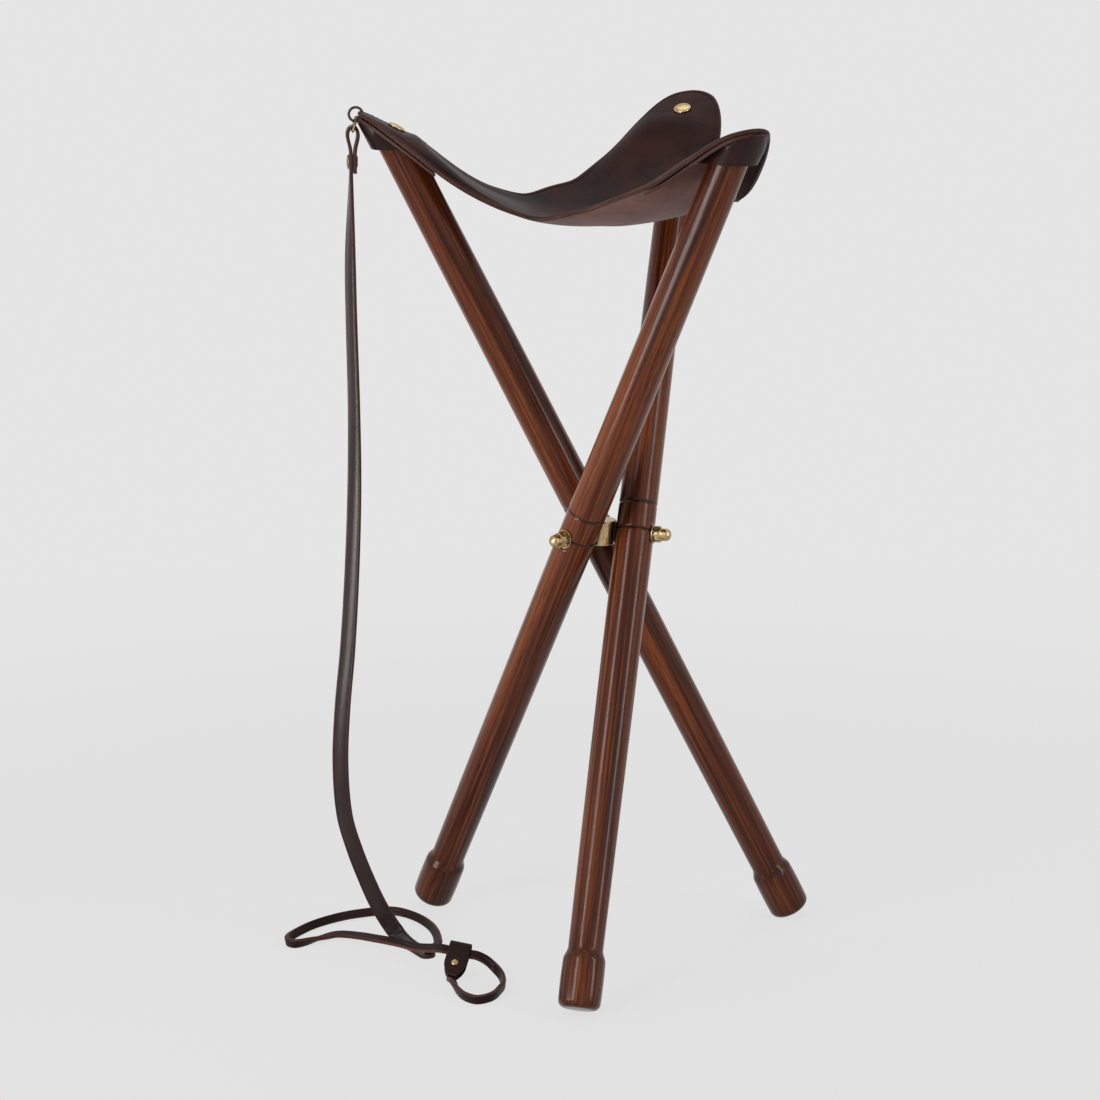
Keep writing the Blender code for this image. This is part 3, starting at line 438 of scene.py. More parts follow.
def makeLeg(side):
    mesh = ringStack(side + "Leg", legOutline(), legLook["around"], sharpAngle=50)
    place = legFrame(side)
    cut = place.inverted() @ tongueFrame(side)
    square = (cut.to_3x3() @ up).normalized()
    # painted shade for each point, which the wood colour reads
    paintedShade = mesh.attributes.new("paintedShade", "FLOAT", "POINT")
    for vert in mesh.vertices:
        over = square.dot(vert.co - cut.translation) + legLook["tongueGap"]
        if vert.co.z > legLook["topFrom"] and over > 0:  # the slanted top that the tongue lies on
            vert.co.z -= over / square.z
        if hypot(vert.co.y, vert.co.z) < legLook["spotRadius"]:  # flats for the washers
            vert.co.x = max(min(vert.co.x, stool["legFace"]), -stool["legFace"])
        paintedShade.data[vert.index].value = paintedShadeAt(vert.co.z)
    leg = addPiece(side + "Leg", mesh, [wood], bodyOf[side], place)
    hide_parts(side + "_leg")


for side in sides:
    makeLeg(side)
print("legs turned")

# hub and the hardware on each stud
hardware = {"bore": 0.0038, "washerEdge": 0.0003, "washerAround": 64}
thrustWasher = {"at": 0.0118, "thick": 0.0014, "radius": 0.0085}
flatWasher = {"at": 0.0436, "thick": 0.0012, "radius": 0.008}
lockWasher = {"at": 0.0451, "thick": 0.001, "radius": 0.00675, "rim": 0.0019, "teeth": 14, "tooth": 0.0011,
              "gapFrom": -0.1, "bend": 0.00028, "thin": 0.0001, "stepsPerTooth": 8}
capNut = {"at": 0.0464, "flats": 0.012, "tall": 0.0046, "cornerCut": 0.0008, "cutTall": 0.0005,
          "fillet": 0.0004, "domeRadius": 0.0052, "domeWall": 0.0042, "domeCrown": 0.0042, "domeRows": 12,
          "around": 72}


def makeWasher(name, node, look, stuff, place):
    low, high, edge, bore = look["at"], look["at"] + look["thick"], hardware["washerEdge"], hardware["bore"]
    rows = [(look["radius"] - edge, high), (look["radius"], high - edge), (look["radius"], low + edge),
            (look["radius"] - edge, low), (bore, low), (bore, high)]
    mesh = ringStack(name, rows, hardware["washerAround"], sharpAngle=30, closed=True)
    washer = addPiece(name, mesh, [stuff], "hub_set", place)
    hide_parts(node)


def makeLockWasher(side, place):
    low, high = lockWasher["at"], lockWasher["at"] + lockWasher["thick"]
    inner = lockWasher["radius"] - lockWasher["rim"]
    teeth = lockWasher["teeth"]

    def toothed(turn):
        inGap = sin(turn * teeth) < lockWasher["gapFrom"]
        return lockWasher["radius"] - (lockWasher["tooth"] if inGap else 0)

    def bent(at):
        return lambda turn: at + lockWasher["bend"] * sin(turn * teeth)

    rows = [(inner, high), (toothed, bent(high - lockWasher["thin"])),
            (toothed, bent(low + lockWasher["thin"])), (inner, low),
            (hardware["bore"], low), (hardware["bore"], high)]
    mesh = ringStack(side + "LockWasher", rows, teeth * lockWasher["stepsPerTooth"],
                     sharpAngle=25, closed=True)
    lock = addPiece(side + "LockWasher", mesh, [toothSteel], "hub_set", place)
    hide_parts(side + "_lock_washer")


def hexRadius(limit):
    half = capNut["flats"] / 2
    return lambda turn: min(half / cos((turn % (pi / 3)) - pi / 6), limit)


def makeCapNut(side, place):
    low, high = capNut["at"], capNut["at"] + capNut["tall"]
    corner = capNut["flats"] / sqrt(3)
    wide, cut = hexRadius(corner), hexRadius(corner - capNut["cornerCut"])
    wall, fillet = capNut["domeRadius"], capNut["fillet"]
    rows = [(hardware["bore"], low), (cut, low), (wide, low + capNut["cutTall"]),
            (wide, high - capNut["cutTall"]), (cut, high), (wall + fillet, high), (wall, high + fillet)]
    rows += dome(wall, high + capNut["domeWall"], capNut["domeCrown"], capNut["domeRows"])[::-1]
    mesh = ringStack(side + "CapNut", rows, capNut["around"], sharpAngle=24)
    nut = addPiece(side + "CapNut", mesh, [brass], "hub_set", place)
    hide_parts(side + "_cap_nut")


for side in sides:
    onStud = studFrame(side)
    makeWasher(side + "ThrustWasher", side + "_thrust_washer", thrustWasher, fibre, onStud)
    makeWasher(side + "FlatWasher", side + "_flat_washer", flatWasher, brass, onStud)
    makeLockWasher(side, onStud)
    makeCapNut(side, onStud)
for name in ["hub"] + [side + "_stud" for side in sides]:
    node = frame["nodes"][name]
    node.data.materials.clear()
    node.data.materials.append(brass)
print("hub and nuts placed")

# seat leather
kneeBack, tipReach = 0.0255, 0.025  # from the middle of a leg's top in to the bend and out to the tip
seatLook = {
    "thick": 0.004, "bed": 0.0005, "edge": 0.080, "power": 2.415, "bowl": 0.0506, "lift": 0.0150,
    "knee": bevelOut - kneeBack, "kneeSpread": 0.012, "tip": bevelOut + tipReach,
    "droop": 0.0125, "sideDroop": 0.0245, "flatHalf": 0.0165, "droopHalf": 0.029, "droopFrom": 0.446,
    "flankSpread": 0.048, "flankShift": 0.037, "flankFrom": 0.012, "flankTo": 0.045,
    "hump": 0.0020, "humpBack": 0.0215, "humpLong": 0.008, "humpWide": 0.017,
    "front": (0.0088, -0.0246), "side": (0.0, 0.0), "back": (0.0263, 0.0181),  # a free edge's rise and lean
    "bendFrom": 0.047, "bendTo": 0.143, "flat": (0.215, 0.165),
    "steps": 120, "crowding": 1.35, "petalHalf": radians(60), "probe": 0.0004, "turnProbe": 0.0005,
}
edgeAfter = {"left": "front", "right": "side", "rear": "back"}
edgeBefore = {"right": "front", "rear": "side", "left": "back"}
seatMiddle = (hubCentre.z + bevelRise + (seatLook["thick"] + seatLook["bed"]) / cos(stool["tongueRise"])
              - seatLook["bowl"] - seatLook["lift"] - tan(stool["tongueRise"]) * kneeBack)


def seatOutline(turn):
    share = ((1 + cos(3 * turn)) / 2) ** seatLook["power"]
    return seatLook["edge"] + (seatLook["tip"] - seatLook["edge"]) * share


def edgeWarp(turn, side):
    rise, lean = seatLook[edgeAfter[side] if turn > 0 else edgeBefore[side]]
    s = pi * (turn / (2 * seatLook["petalHalf"]) % 1)
    return rise * sin(s) ** 2 + lean * sin(2 * s) * sin(s)


def seatHeight(along, across, side):
    out, turn = hypot(along, across), atan2(across, along)
    ratio = out / seatLook["knee"]
    bowl = seatLook["bowl"] * ratio ** 2 + seatLook["lift"] * ratio ** 3 * cos(3 * turn)
    bowl += edgeWarp(turn, side) * ratio ** 2
    tongue = seatLook["bowl"] + seatLook["lift"] + tan(stool["tongueRise"]) * (along - seatLook["knee"])
    flank = smoothStep(seatLook["flankFrom"], seatLook["flankTo"], abs(across))
    knee = seatLook["knee"] - seatLook["flankShift"] * flank
    spreadOut = seatLook["kneeSpread"] + seatLook["flankSpread"] * flank
    share = smoothStep(knee - spreadOut, knee + spreadOut, along)
    droop = seatLook["sideDroop" if side == "right" and across > 0 else "droop"]
    droop *= (max(abs(across) - seatLook["flatHalf"], 0) / seatLook["droopHalf"]) ** 2
    droop *= smoothStep(seatLook["droopFrom"] * seatLook["knee"], seatLook["knee"], along)
    hump = seatLook["hump"] * exp(-((along - bevelOut + seatLook["humpBack"]) / seatLook["humpLong"]) ** 2
                                  - (across / seatLook["humpWide"]) ** 2)
    return seatMiddle + bowl * (1 - share) + tongue * share - droop + hump


def seatPoint(along, across, side):
    out = cornerOut(side)
    return floorShift + out * along + up.cross(out) * across + up * seatHeight(along, across, side)


def seatSquare(along, across, side):
    step = seatLook["probe"]
    forward = seatPoint(along + step, across, side) - seatPoint(along - step, across, side)
    sideways = seatPoint(along, across + step, side) - seatPoint(along, across - step, side)
    return forward.cross(sideways).normalized()


def edgeAt(turn):  # a point of the outline and the way inwards from it
    def point(t):
        return Vector((seatOutline(t) * cos(t), seatOutline(t) * sin(t)))
    ahead = (point(turn + seatLook["turnProbe"]) - point(turn - seatLook["turnProbe"])).normalized()
    return point(turn), Vector((-ahead.y, ahead.x))


# inset from the edge and depth below the top, first along the scribed line, then round the cut
petalEdge = {
    "rows": 22, "border": 0.0085,
    "scribed": ((0.0066, 0), (0.0056, 0.00005), (0.0051, 0.00045), (0.0046, 0.00045), (0.0041, 0.00005),
                (0.003, 0), (0.0018, 0.0001)),
    "cut": ((0.0008, 0.00045), (0.0002, 0.0011), (0, 0.0017), (0.0003, 0.0020), (0, 0.0023), (0.0002, 0.0031),
            (0.0009, 0.0037), (0.0016, seatLook["thick"])),
}
grainFace, cutFace, fleshFace = range(3)


def petalRings():
    # (share of the way to the border or None, inset from the edge, depth below the top, material)
    rows, border, thick = petalEdge["rows"], petalEdge["border"], seatLook["thick"]
    rings = [(share, border, 0, grainFace) for share in between(0, 1, rows)]
    rings += [(None, inset, depth, grainFace) for inset, depth in petalEdge["scribed"]]
    rings += [(None, inset, depth, cutFace) for inset, depth in petalEdge["cut"]]
    rings.append((None, border, thick, fleshFace))
    return rings + [(share, border, thick, fleshFace) for share in between(0, 1, rows)[-2::-1]]


def makePetal(side):
    shape = bmesh.new()
    columns = []
    for t in between(-1, 1, seatLook["steps"]):
        turn = copysign(abs(t) ** seatLook["crowding"], t) * seatLook["petalHalf"]
        edge, inward = edgeAt(turn)
        column = []
        for share, inset, depth, stuff in petalRings():
            if share == 0 and columns:  # all columns meet in the middle
                column.append((columns[0][-1 if depth else 0][0], stuff))
                continue
            at = (edge + inward * inset) * (1 if share is None else share)
            point = seatPoint(at.x, at.y, side) - seatSquare(at.x, at.y, side) * depth
            column.append((shape.verts.new(point), stuff))
        columns.append(column)
    for a, b in zip(columns, columns[1:]):
        for i in range(len(a) - 1):
            corners = []
            for vert in (a[i][0], a[i + 1][0], b[i + 1][0], b[i][0]):
                if vert not in corners:
                    corners.append(vert)
            shape.faces.new(corners).material_index = a[i + 1][1]
    for column in (columns[0], columns[-1]):  # the joins with the other two petals
        shape.faces.new([vert for vert, _ in column]).material_index = fleshFace
    mesh = finishMesh(side + "Petal", shape, sharpAngle=60)
    petal = addPiece(side + "Petal", mesh, [seatLeather, cutEdge, fleshSide])
    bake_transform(petal)
    return petal


petals = {side: makePetal(side) for side in sides}
for side in sides:
    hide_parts("seat_panel")
print("seat stretched")

# sewing: short slanted stitches along a line
sewing = {"pitch": 0.0036, "length": 0.0027, "width": 0.0008, "rise": 0.00014, "slant": radians(12),
          "proud": 0.00005, "probe": 0.001, "from": 0.013, "run": 0.046, "half": 0.0185, "flare": 0.0045,
          "flareCurve": 1.5, "points": 30}


def stitchMesh(name, places, look):
    shape = bmesh.new()
    for place in places:
        made = bmesh.ops.create_uvsphere(shape, u_segments=6, v_segments=5, radius=1.0)
        for vert in made["verts"]:
            x, y, z = vert.co
            vert.co = place @ Vector((x * look["length"] / 2, y * look["width"] / 2, z * look["rise"]))
    return finishMesh(name, shape, sharpAngle=80)


def walk(points, pitch):  # places a pitch apart along a line of points
    found, left = [], 0.0
    for a, b in zip(points, points[1:]):
        span = (b - a).length
        while left < span:
            found.append((a.lerp(b, left / span), (b - a).normalized()))
            left += pitch
        left -= span
    return found


def seamLine(sign):
    line = []
    for share in between(0, 1, sewing["points"]):
        half = sewing["half"] + sewing["flare"] * share ** sewing["flareCurve"]
        line.append(Vector((bevelOut + sewing["from"] - sewing["run"] * share, sign * half)))
    return line


def makeSeatStitches(side):
    places = []
    for at, ahead in walk(seamLine(-1), sewing["pitch"]) + walk(seamLine(1), sewing["pitch"]):
        square = seatSquare(at.x, at.y, side)
        then = at + ahead * sewing["probe"]
        first, second = seatPoint(at.x, at.y, side), seatPoint(then.x, then.y, side)
        slanted = Matrix.Rotation(sewing["slant"], 3, square) @ (second - first)
        places.append(frameFrom(slanted, square, first + square * sewing["proud"]))
    mesh = stitchMesh(side + "SeatStitches", places, sewing)
    stitches = addPiece(side + "SeatStitches", mesh, [thread])
    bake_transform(stitches)


for side in sides:
    makeSeatStitches(side)
print("seat sewn")

# pockets under the corners
pocketLook = {
    "thick": 0.0024, "fit": 0.0008, "tipInset": 0.0006, "edgeInset": 0.0006, "half": 0.0188, "narrow": 0.7,
    "room": 0.0009, "rim": 0.026, "rimFrom": 0.2, "trough": 0.55, "widest": radians(55),
    "wingBefore": 0.030, "wingAfter": {"left": 0.010, "right": 0.026, "rear": 0.014}, "wingCurve": 1.5,
    "across": 72, "down": 40,
}
softening = {"share": 0.22, "segments": 2, "angle": radians(50)}


def lastWhere(holds, low, high, halvings):
    for _ in range(halvings):
        middle = (low + high) / 2
        low, high = (middle, high) if holds(middle) else (low, middle)
    return low


def seatHalfWidth(along):
    turn = lastWhere(lambda t: seatOutline(t) * cos(t) > along, 0.0, pocketLook["widest"], halvings=40)
    return seatOutline(turn) * sin(turn)


def pocketPoint(u, v, side):
    inside = min(abs(u) / pocketLook["trough"], 1) * pi / 2
    outside = max((abs(u) - pocketLook["trough"]) / (1 - pocketLook["trough"]), 0)
    tip = seatLook["tip"] - pocketLook["tipInset"]
    wing = pocketLook["wingAfter"][side] if u > 0 else pocketLook["wingBefore"]
    rim = bevelOut - pocketLook["rim"] - wing * outside ** pocketLook["wingCurve"]
    along = tip + (rim - tip) * v
    half = seatHalfWidth(along) - pocketLook["edgeInset"]
    trough = min(pocketLook["half"], pocketLook["narrow"] * half)
    across = copysign(trough + (half - trough) * outside if outside else trough * sin(inside), u)
    square = tongueFrame(side).to_3x3() @ up
    tilt = asin(abs((legFrame(side).to_3x3() @ up).dot(square)))
    reach = (bevelOut - along) / cos(stool["tongueRise"])
    depth = reach * tan(tilt) + legLook["topRadius"] / cos(tilt)
    depth += pocketLook["room"] + pocketLook["thick"] / 2
    depth = max(depth, 0) * cos(inside)
    under = seatLook["thick"] + pocketLook["fit"] + pocketLook["thick"] / 2
    return seatPoint(along, across, side) - seatSquare(along, across, side) * under - square * depth


def gridMesh(name, across, down, pointAt):
    shape = bmesh.new()
    rows = [[shape.verts.new(pointAt(u, v)) for u in between(-1, 1, across)] for v in between(0, 1, down)]
    for a, b in zip(rows, rows[1:]):
        for i in range(across):
            shape.faces.new((a[i], a[i + 1], b[i + 1], b[i]))
    return finishMesh(name, shape, sharpAngle=60)


def thicken(piece, thick, rimSlot):
    shell = piece.modifiers.new("hide", "SOLIDIFY")
    shell.thickness = thick
    shell.offset = 0
    shell.material_offset_rim = rimSlot
    soft = piece.modifiers.new("softened", "BEVEL")
    soft.width = thick * softening["share"]
    soft.segments = softening["segments"]
    soft.limit_method = "ANGLE"
    soft.angle_limit = softening["angle"]


def applyModifiers(piece):
    graph = bpy.context.evaluated_depsgraph_get()
    shown = bpy.data.meshes.new_from_object(piece.evaluated_get(graph))
    piece.modifiers.clear()
    piece.data = shown


def makePocket(side):
    trough = pocketLook["trough"]
    first, last = [pocketPoint(sign * trough, 1, side).z for sign in (-1, 1)]
    reach = {}

    def rimShare(u):  # how far down the pocket goes before its level rim
        if abs(u) >= trough:
            return 1.0
        level = first + (last - first) * (u / trough + 1) / 2
        return lastWhere(lambda v: pocketPoint(u, v, side).z > level, pocketLook["rimFrom"], 1.0,
                         halvings=24)

    def pointAt(u, v):
        if u not in reach:
            reach[u] = rimShare(u)
        return pocketPoint(u, v * reach[u], side)

    mesh = gridMesh(side + "Pocket", pocketLook["across"], pocketLook["down"], pointAt)
    pocket = addPiece(side + "Pocket", mesh, [pocketLeather, cutEdge])
    thicken(pocket, pocketLook["thick"], rimSlot=1)
    applyModifiers(pocket)
    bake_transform(pocket)
    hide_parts(side + "_pocket")


for side in sides:
    makePocket(side)
print("pockets sewn on")

# dome-head screws; under the dome, each row is a radius and a height over the leather
screwLook = {"radius": 0.0075, "rise": 0.0032, "skirt": 0.0009, "inward": 0.003, "domeRows": 12, "around": 56,
             "under": ((0.0074, 0.0003), (0.007, 0), (0.0022, 0), (0.0022, -0.012), (0, -0.014))}


def makeScrew(side):
    base = seatLook["thick"] + seatLook["bed"] + stool["fit"]
    place = tongueFrame(side) @ Matrix.Translation((-screwLook["inward"], 0, 0))
    skirt = screwLook["skirt"]
    rows = dome(screwLook["radius"], base + skirt, screwLook["rise"] - skirt, screwLook["domeRows"])
    rows += [(radius, base + height) for radius, height in screwLook["under"]]
    mesh = ringStack(side + "SeatScrew", rows, screwLook["around"], sharpAngle=35)
    screw = addPiece(side + "SeatScrew", mesh, [brass], bodyOf[side], place)
    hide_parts(side + "_seat_screw")


for side in sides:
    makeScrew(side)
print("screws in")

# rings at the left corner, and the strap that the link has to take
strapLook = {"width": 0.0145, "thick": 0.0028, "fold": 0.0042, "pinch": 0.38, "tail": 0.034,
             "edgeLine": 0.0018, "round": 0.0062, "blunt": 0.0004, "spans": 10, "mainFrom": 3}
ringLook = {"radius": 0.0056, "wire": 0.0011, "inset": 0.0022, "rise": radians(24), "linkHalf": 0.0052,
            "linkRound": 0.003, "linkWire": 0.001, "linkTilt": radians(15), "stackFit": 0.0010,
            "points": 48, "cornerPoints": 10, "around": 14}
leftOut = cornerOut("left")
leftSide = up.cross(leftOut)
stackThick = seatLook["thick"] + ringLook["stackFit"] + pocketLook["thick"]
stackMiddle = seatLook["thick"] + seatLook["bed"] - stackThick / 2
holeAlong = (seatLook["tip"] - bevelOut - ringLook["inset"]) / cos(stool["tongueRise"])
holeAt = tongueFrame("left") @ Vector((holeAlong, 0, stackMiddle))
ringMiddle = holeAt + ringLook["radius"] * (leftOut * cos(ringLook["rise"]) + up * sin(ringLook["rise"]))
linkTop = ringMiddle - up * (ringLook["radius"] - ringLook["wire"] - ringLook["linkWire"] - stool["fit"])
linkUp = up * cos(ringLook["linkTilt"]) - leftOut * sin(ringLook["linkTilt"])
linkMiddle = linkTop - linkUp * ringLook["linkHalf"]
linkBottom = linkMiddle - linkUp * ringLook["linkHalf"]
linkHalfWidth = strapLook["width"] / 2 + ringLook["linkWire"] + 5 * stool["fit"]


def makeRing():
    circle = [ringMiddle + ringLook["radius"] * (leftOut * cos(t) + up * sin(t))
              for t in fullTurn(ringLook["points"])]
    mesh = tube("cornerRing", circle, ringLook["wire"], ringLook["around"])
    ring = addPiece("cornerRing", mesh, [darkSteel], bodyOf["left"])
    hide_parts("corner_ring")


def makeLink():
    corner = ringLook["linkRound"]
    bow = []
    for i, (x, y) in enumerate(((1, 1), (-1, 1), (-1, -1), (1, -1))):
        bow += arc(x * (linkHalfWidth - corner), y * (ringLook["linkHalf"] - corner), corner,
                   90 * i, 90 * i + 90, ringLook["cornerPoints"])
    points = [linkMiddle + leftSide * x + linkUp * y for x, y in bow]
    mesh = tube("linkRing", points, ringLook["linkWire"], ringLook["around"])
    link = addPiece("linkRing", mesh, [oldBrass], bodyOf["left"])
    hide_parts("link_ring")


makeRing()
makeLink()
print("rings linked")


# straps
def smoothRoute(points, spans):  # a smooth line through points of x, y, z and a turn
    lengths = [(Vector(b[:3]) - Vector(a[:3])).length for a, b in zip(points, points[1:])]
    ends = [points[0]] + points + [points[-1]]
    steps = [lengths[0]] + lengths + [lengths[-1]]
    found = []
    for i, h in enumerate(lengths):
        a, b, c, d = ends[i:i + 4]
        for t in between(0, 1, spans)[:-1]:
            at = []
            for p, q, r, s in zip(a, b, c, d):
                leave = (r - p) / (steps[i] + h) * h
                arrive = (s - q) / (h + steps[i + 2]) * h
                at.append(q + leave * t + (3 * (r - q) - 2 * leave - arrive) * t ** 2
                          + (leave + arrive - 2 * (r - q)) * t ** 3)
            found.append(at)
    return found + [list(points[-1])]


def aheadAt(points, i):
    return points[min(i + 1, len(points) - 1)] - points[max(i - 1, 0)]


def stripMesh(name, centres, across, section, shares=None):
    # section is a closed list of (sideways, upwards, material), in metres; material 1 is the cut edge
    # shares narrow the strip point by point
    shape = bmesh.new()
    rings = []
    for i, centre in enumerate(centres):
        ahead = aheadAt(centres, i).normalized()
        side = (across[i] - ahead * across[i].dot(ahead)).normalized()
        square = ahead.cross(side)
        share = shares[i] if shares else 1.0
        rings.append([shape.verts.new(centre + side * (x * share) + square * y) for x, y, _ in section])
    count = len(section)
    for a, b in zip(rings, rings[1:]):
        for k in range(count):
            n = (k + 1) % count
            shape.faces.new((a[k], a[n], b[n], b[k])).material_index = section[k][2]
    for end in (rings[0], rings[-1]):
        shape.faces.new(end).material_index = 1
    return finishMesh(name, shape, sharpAngle=50)


sectionLook = {"soft": 0.28, "cornerRows": 3, "lineHalf": 0.0004, "lineDepth": 0.00025, "splitHalf": 0.0003,
               "splitDepth": 0.0004, "edgeFrom": 0.5}


def strapSection(width, thick, grooves, layered):
    half, deep = width / 2, thick / 2
    soft, rows = thick * sectionLook["soft"], sectionLook["cornerRows"]
    lineHalf, splitHalf = sectionLook["lineHalf"], sectionLook["splitHalf"]
    outline = arc(half - soft, deep - soft, soft, 0, 90, rows)
    for x in grooves:
        outline += [(x + lineHalf, deep), (x, deep - sectionLook["lineDepth"]), (x - lineHalf, deep)]
    outline += arc(soft - half, deep - soft, soft, 90, 180, rows)
    split = [(-half, 0)]
    if layered:
        split = [(-half, splitHalf), (-half + sectionLook["splitDepth"], 0), (-half, -splitHalf)]
    outline += split
    outline += arc(soft - half, soft - deep, soft, 180, 270, rows)
    outline += arc(half - soft, soft - deep, soft, 270, 360, rows)
    outline += [(-x, -y) for x, y in split]
    section = []
    for (x, y), (nextX, _) in zip(outline, outline[1:] + outline[:1]):
        section.append((x, y, 1 if abs(x + nextX) / 2 > half - sectionLook["edgeFrom"] * soft else 0))
    return section


# half of the fold round the link, from the tail up: share of the fold's width, height over the link's foot
foldHalf = [(strapLook["pinch"], -strapLook["tail"]), (strapLook["pinch"], -0.020), (0.5, -0.014),
            (1.0, -0.004), (0.76, 0.0012)]
fold = [(-share, lift) for share, lift in foldHalf] + [(0.0, 0.0031)] + foldHalf[::-1]
foldTurn = degrees(cornerTurn("left")) + 90 - 360
# the fall to the floor: place and turn in degrees
hang = [(-0.2033, 0.0336, 0.590, -73), (-0.2029, 0.0340, 0.540, -69), (-0.2014, 0.0355, 0.466, -65),
        (-0.2015, 0.0375, 0.398, -56), (-0.2039, 0.0400, 0.328, -51), (-0.2078, 0.0430, 0.261, -47),
        (-0.2123, 0.0455, 0.210, -43), (-0.2143, 0.0475, 0.162, -40), (-0.2112, 0.0490, 0.116, -36),
        (-0.2023, 0.0500, 0.083, -30), (-0.1896, 0.0505, 0.049, -22), (-0.1811, 0.0505, 0.030, -14),
        (-0.1731, 0.0490, 0.0158, -9), (-0.1668, 0.0462, 0.0066, -2), (-0.1612, 0.0342, 0.0026, 10),
        (-0.1550, 0.0145, 0.0018, 24), (-0.1500, -0.0050, 0.0017, 25)]
strapPoints = [(*(linkBottom + leftOut * (share * strapLook["fold"]) + up * lift), foldTurn)
               for share, lift in fold]
strapPoints += [(*(Vector(p[:3]) + floorShift), p[3]) for p in hang]
strapRoute = smoothRoute(strapPoints, strapLook["spans"])
strapCentres = [Vector(p[:3]) for p in strapRoute]


def roundedEnd(centres):  # widths as shares, falling off in a half circle at the lower end
    shares, left, last = [], strapLook["blunt"], centres[-1]
    for centre in reversed(centres):
        left += (centre - last).length
        last = centre
        shares.append(sqrt(1 - (1 - min(left / strapLook["round"], 1)) ** 2))
    return shares[::-1]


def makeStrap():
    across = [levelWay(radians(p[3])) for p in strapRoute]
    line = strapLook["width"] / 2 - strapLook["edgeLine"]
    section = strapSection(strapLook["width"], strapLook["thick"], (line, -line), False)
    mesh = stripMesh("carryStrap", strapCentres, across, section, roundedEnd(strapCentres))
    strap = addPiece("carryStrap", mesh, [strapLeather, cutEdge], bodyOf["left"])
    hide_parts("strap")
    return strap


rivetLook = {"below": 0.025, "head": 0.0060, "rise": 0.0017, "keeperHead": 0.003, "keeperRise": 0.0016,
             "neck": 0.0012, "skirt": 0.0007, "lowSkirt": 0.0003, "skirtIn": 0.0001, "gap": 0.0002,
             "crown": 0.8, "backShare": 0.8, "backIn": 0.0003, "backRise": 1 / 3, "domeRows": 9, "around": 48}


def makeRivet(name, node, place, head, rise, half, stuff):
    neck, gap = rivetLook["neck"], rivetLook["gap"]
    back, low = rivetLook["backShare"] * head, -half - rivetLook["backIn"] - rise * rivetLook["backRise"]
    rows = dome(head, half + rivetLook["skirt"], rise * rivetLook["crown"], rivetLook["domeRows"])
    rows += [(head - rivetLook["skirtIn"], half + rivetLook["lowSkirt"]), (neck, half + gap),
             (neck, -half - gap), (back, -half - gap), (back - rivetLook["backIn"], low), (0, low)]
    mesh = ringStack(name, rows, rivetLook["around"], sharpAngle=35)
    rivet = addPiece(name, mesh, [stuff], bodyOf["left"], place)
    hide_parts(node)
    return rivet


strap = makeStrap()
strapRivet = makeRivet("strapRivet", "strap_rivet",
                       frameFrom(up, leftOut, linkBottom - up * rivetLook["below"]),
                       rivetLook["head"], rivetLook["rise"],
                       strapLook["pinch"] * strapLook["fold"] + strapLook["thick"] / 2, oldBrass)

# loop strap with its keeper
loopLook = {"width": 0.0076, "thick": 0.004, "lapGap": 0.0004, "spans": 8}
loopSewing = {"pitch": 0.0030, "length": 0.0022, "width": 0.0008, "rise": 0.00035, "sunk": 0.0002}
keeperLook = {"at": Vector((-0.1354, -0.0490, 0.0195)), "turn": radians(-26), "dip": radians(8),
              "tilt": radians(-38), "half": 0.009, "length": 0.0245, "thick": 0.0018, "rivetAt": 0.0135,
              "taperFrom": 0.5, "taper": 0.55, "across": 8, "round": 72,
              "passAt": (-0.016, -0.008, 0, 0.008, 0.016), "tailAt": (0.026, 0.018, 0.009)}
keeperAt = keeperLook["at"] + floorShift
keeperAlong = levelWay(keeperLook["turn"]) * cos(keeperLook["dip"]) - up * sin(keeperLook["dip"])
keeperLevel = keeperAlong.cross(up).normalized()
keeperRise = keeperLevel.cross(keeperAlong)
keeperFlap = keeperLevel * cos(keeperLook["tilt"]) + keeperRise * sin(keeperLook["tilt"])
keeperSquare = keeperFlap.cross(keeperAlong)
keeperInside = loopLook["thick"] / 2 + 2 * stool["fit"]
tailLevel = -keeperFlap.cross(up).normalized()
tailRise = -tailLevel.cross(keeperFlap)
tailRoll = degrees(atan2(keeperAlong.dot(tailRise), keeperAlong.dot(tailLevel)))
lap = strapLook["thick"] + stool["fit"] + loopLook["thick"] / 2 + loopLook["lapGap"]
# place, height (none where it rests on the floor) and roll in degrees
firstLay = [(-0.1515, 0.0010, lap, 0), (-0.1470, 0.0050, lap, 0), (-0.1395, 0.0145, 0.0060, 22),
            (-0.1360, 0.0275, None, 45), (-0.1335, 0.0455, None, 58), (-0.1335, 0.0645, None, 62),
            (-0.1375, 0.0850, None, 62), (-0.1450, 0.1020, None, 62), (-0.1540, 0.1125, None, 62),
            (-0.1650, 0.1165, None, 62), (-0.1770, 0.1160, None, 62), (-0.1965, 0.1125, None, 62),
            (-0.2155, 0.1045, None, 62), (-0.2325, 0.0935, None, 64), (-0.2475, 0.0790, None, 68),
            (-0.2575, 0.0665, None, 74), (-0.2600, 0.0570, None, 80), (-0.2550, 0.0500, None, 75),
            (-0.2425, 0.0535, None, 50), (-0.2285, 0.0640, None, 12), (-0.2155, 0.0660, 0.0042, -6),
            (-0.2010, 0.0550, 0.0055, -14), (-0.1880, 0.0355, 0.0080, -20), (-0.1740, 0.0110, 0.0112, -28),
            (-0.1630, -0.0165, 0.0152, -35)]
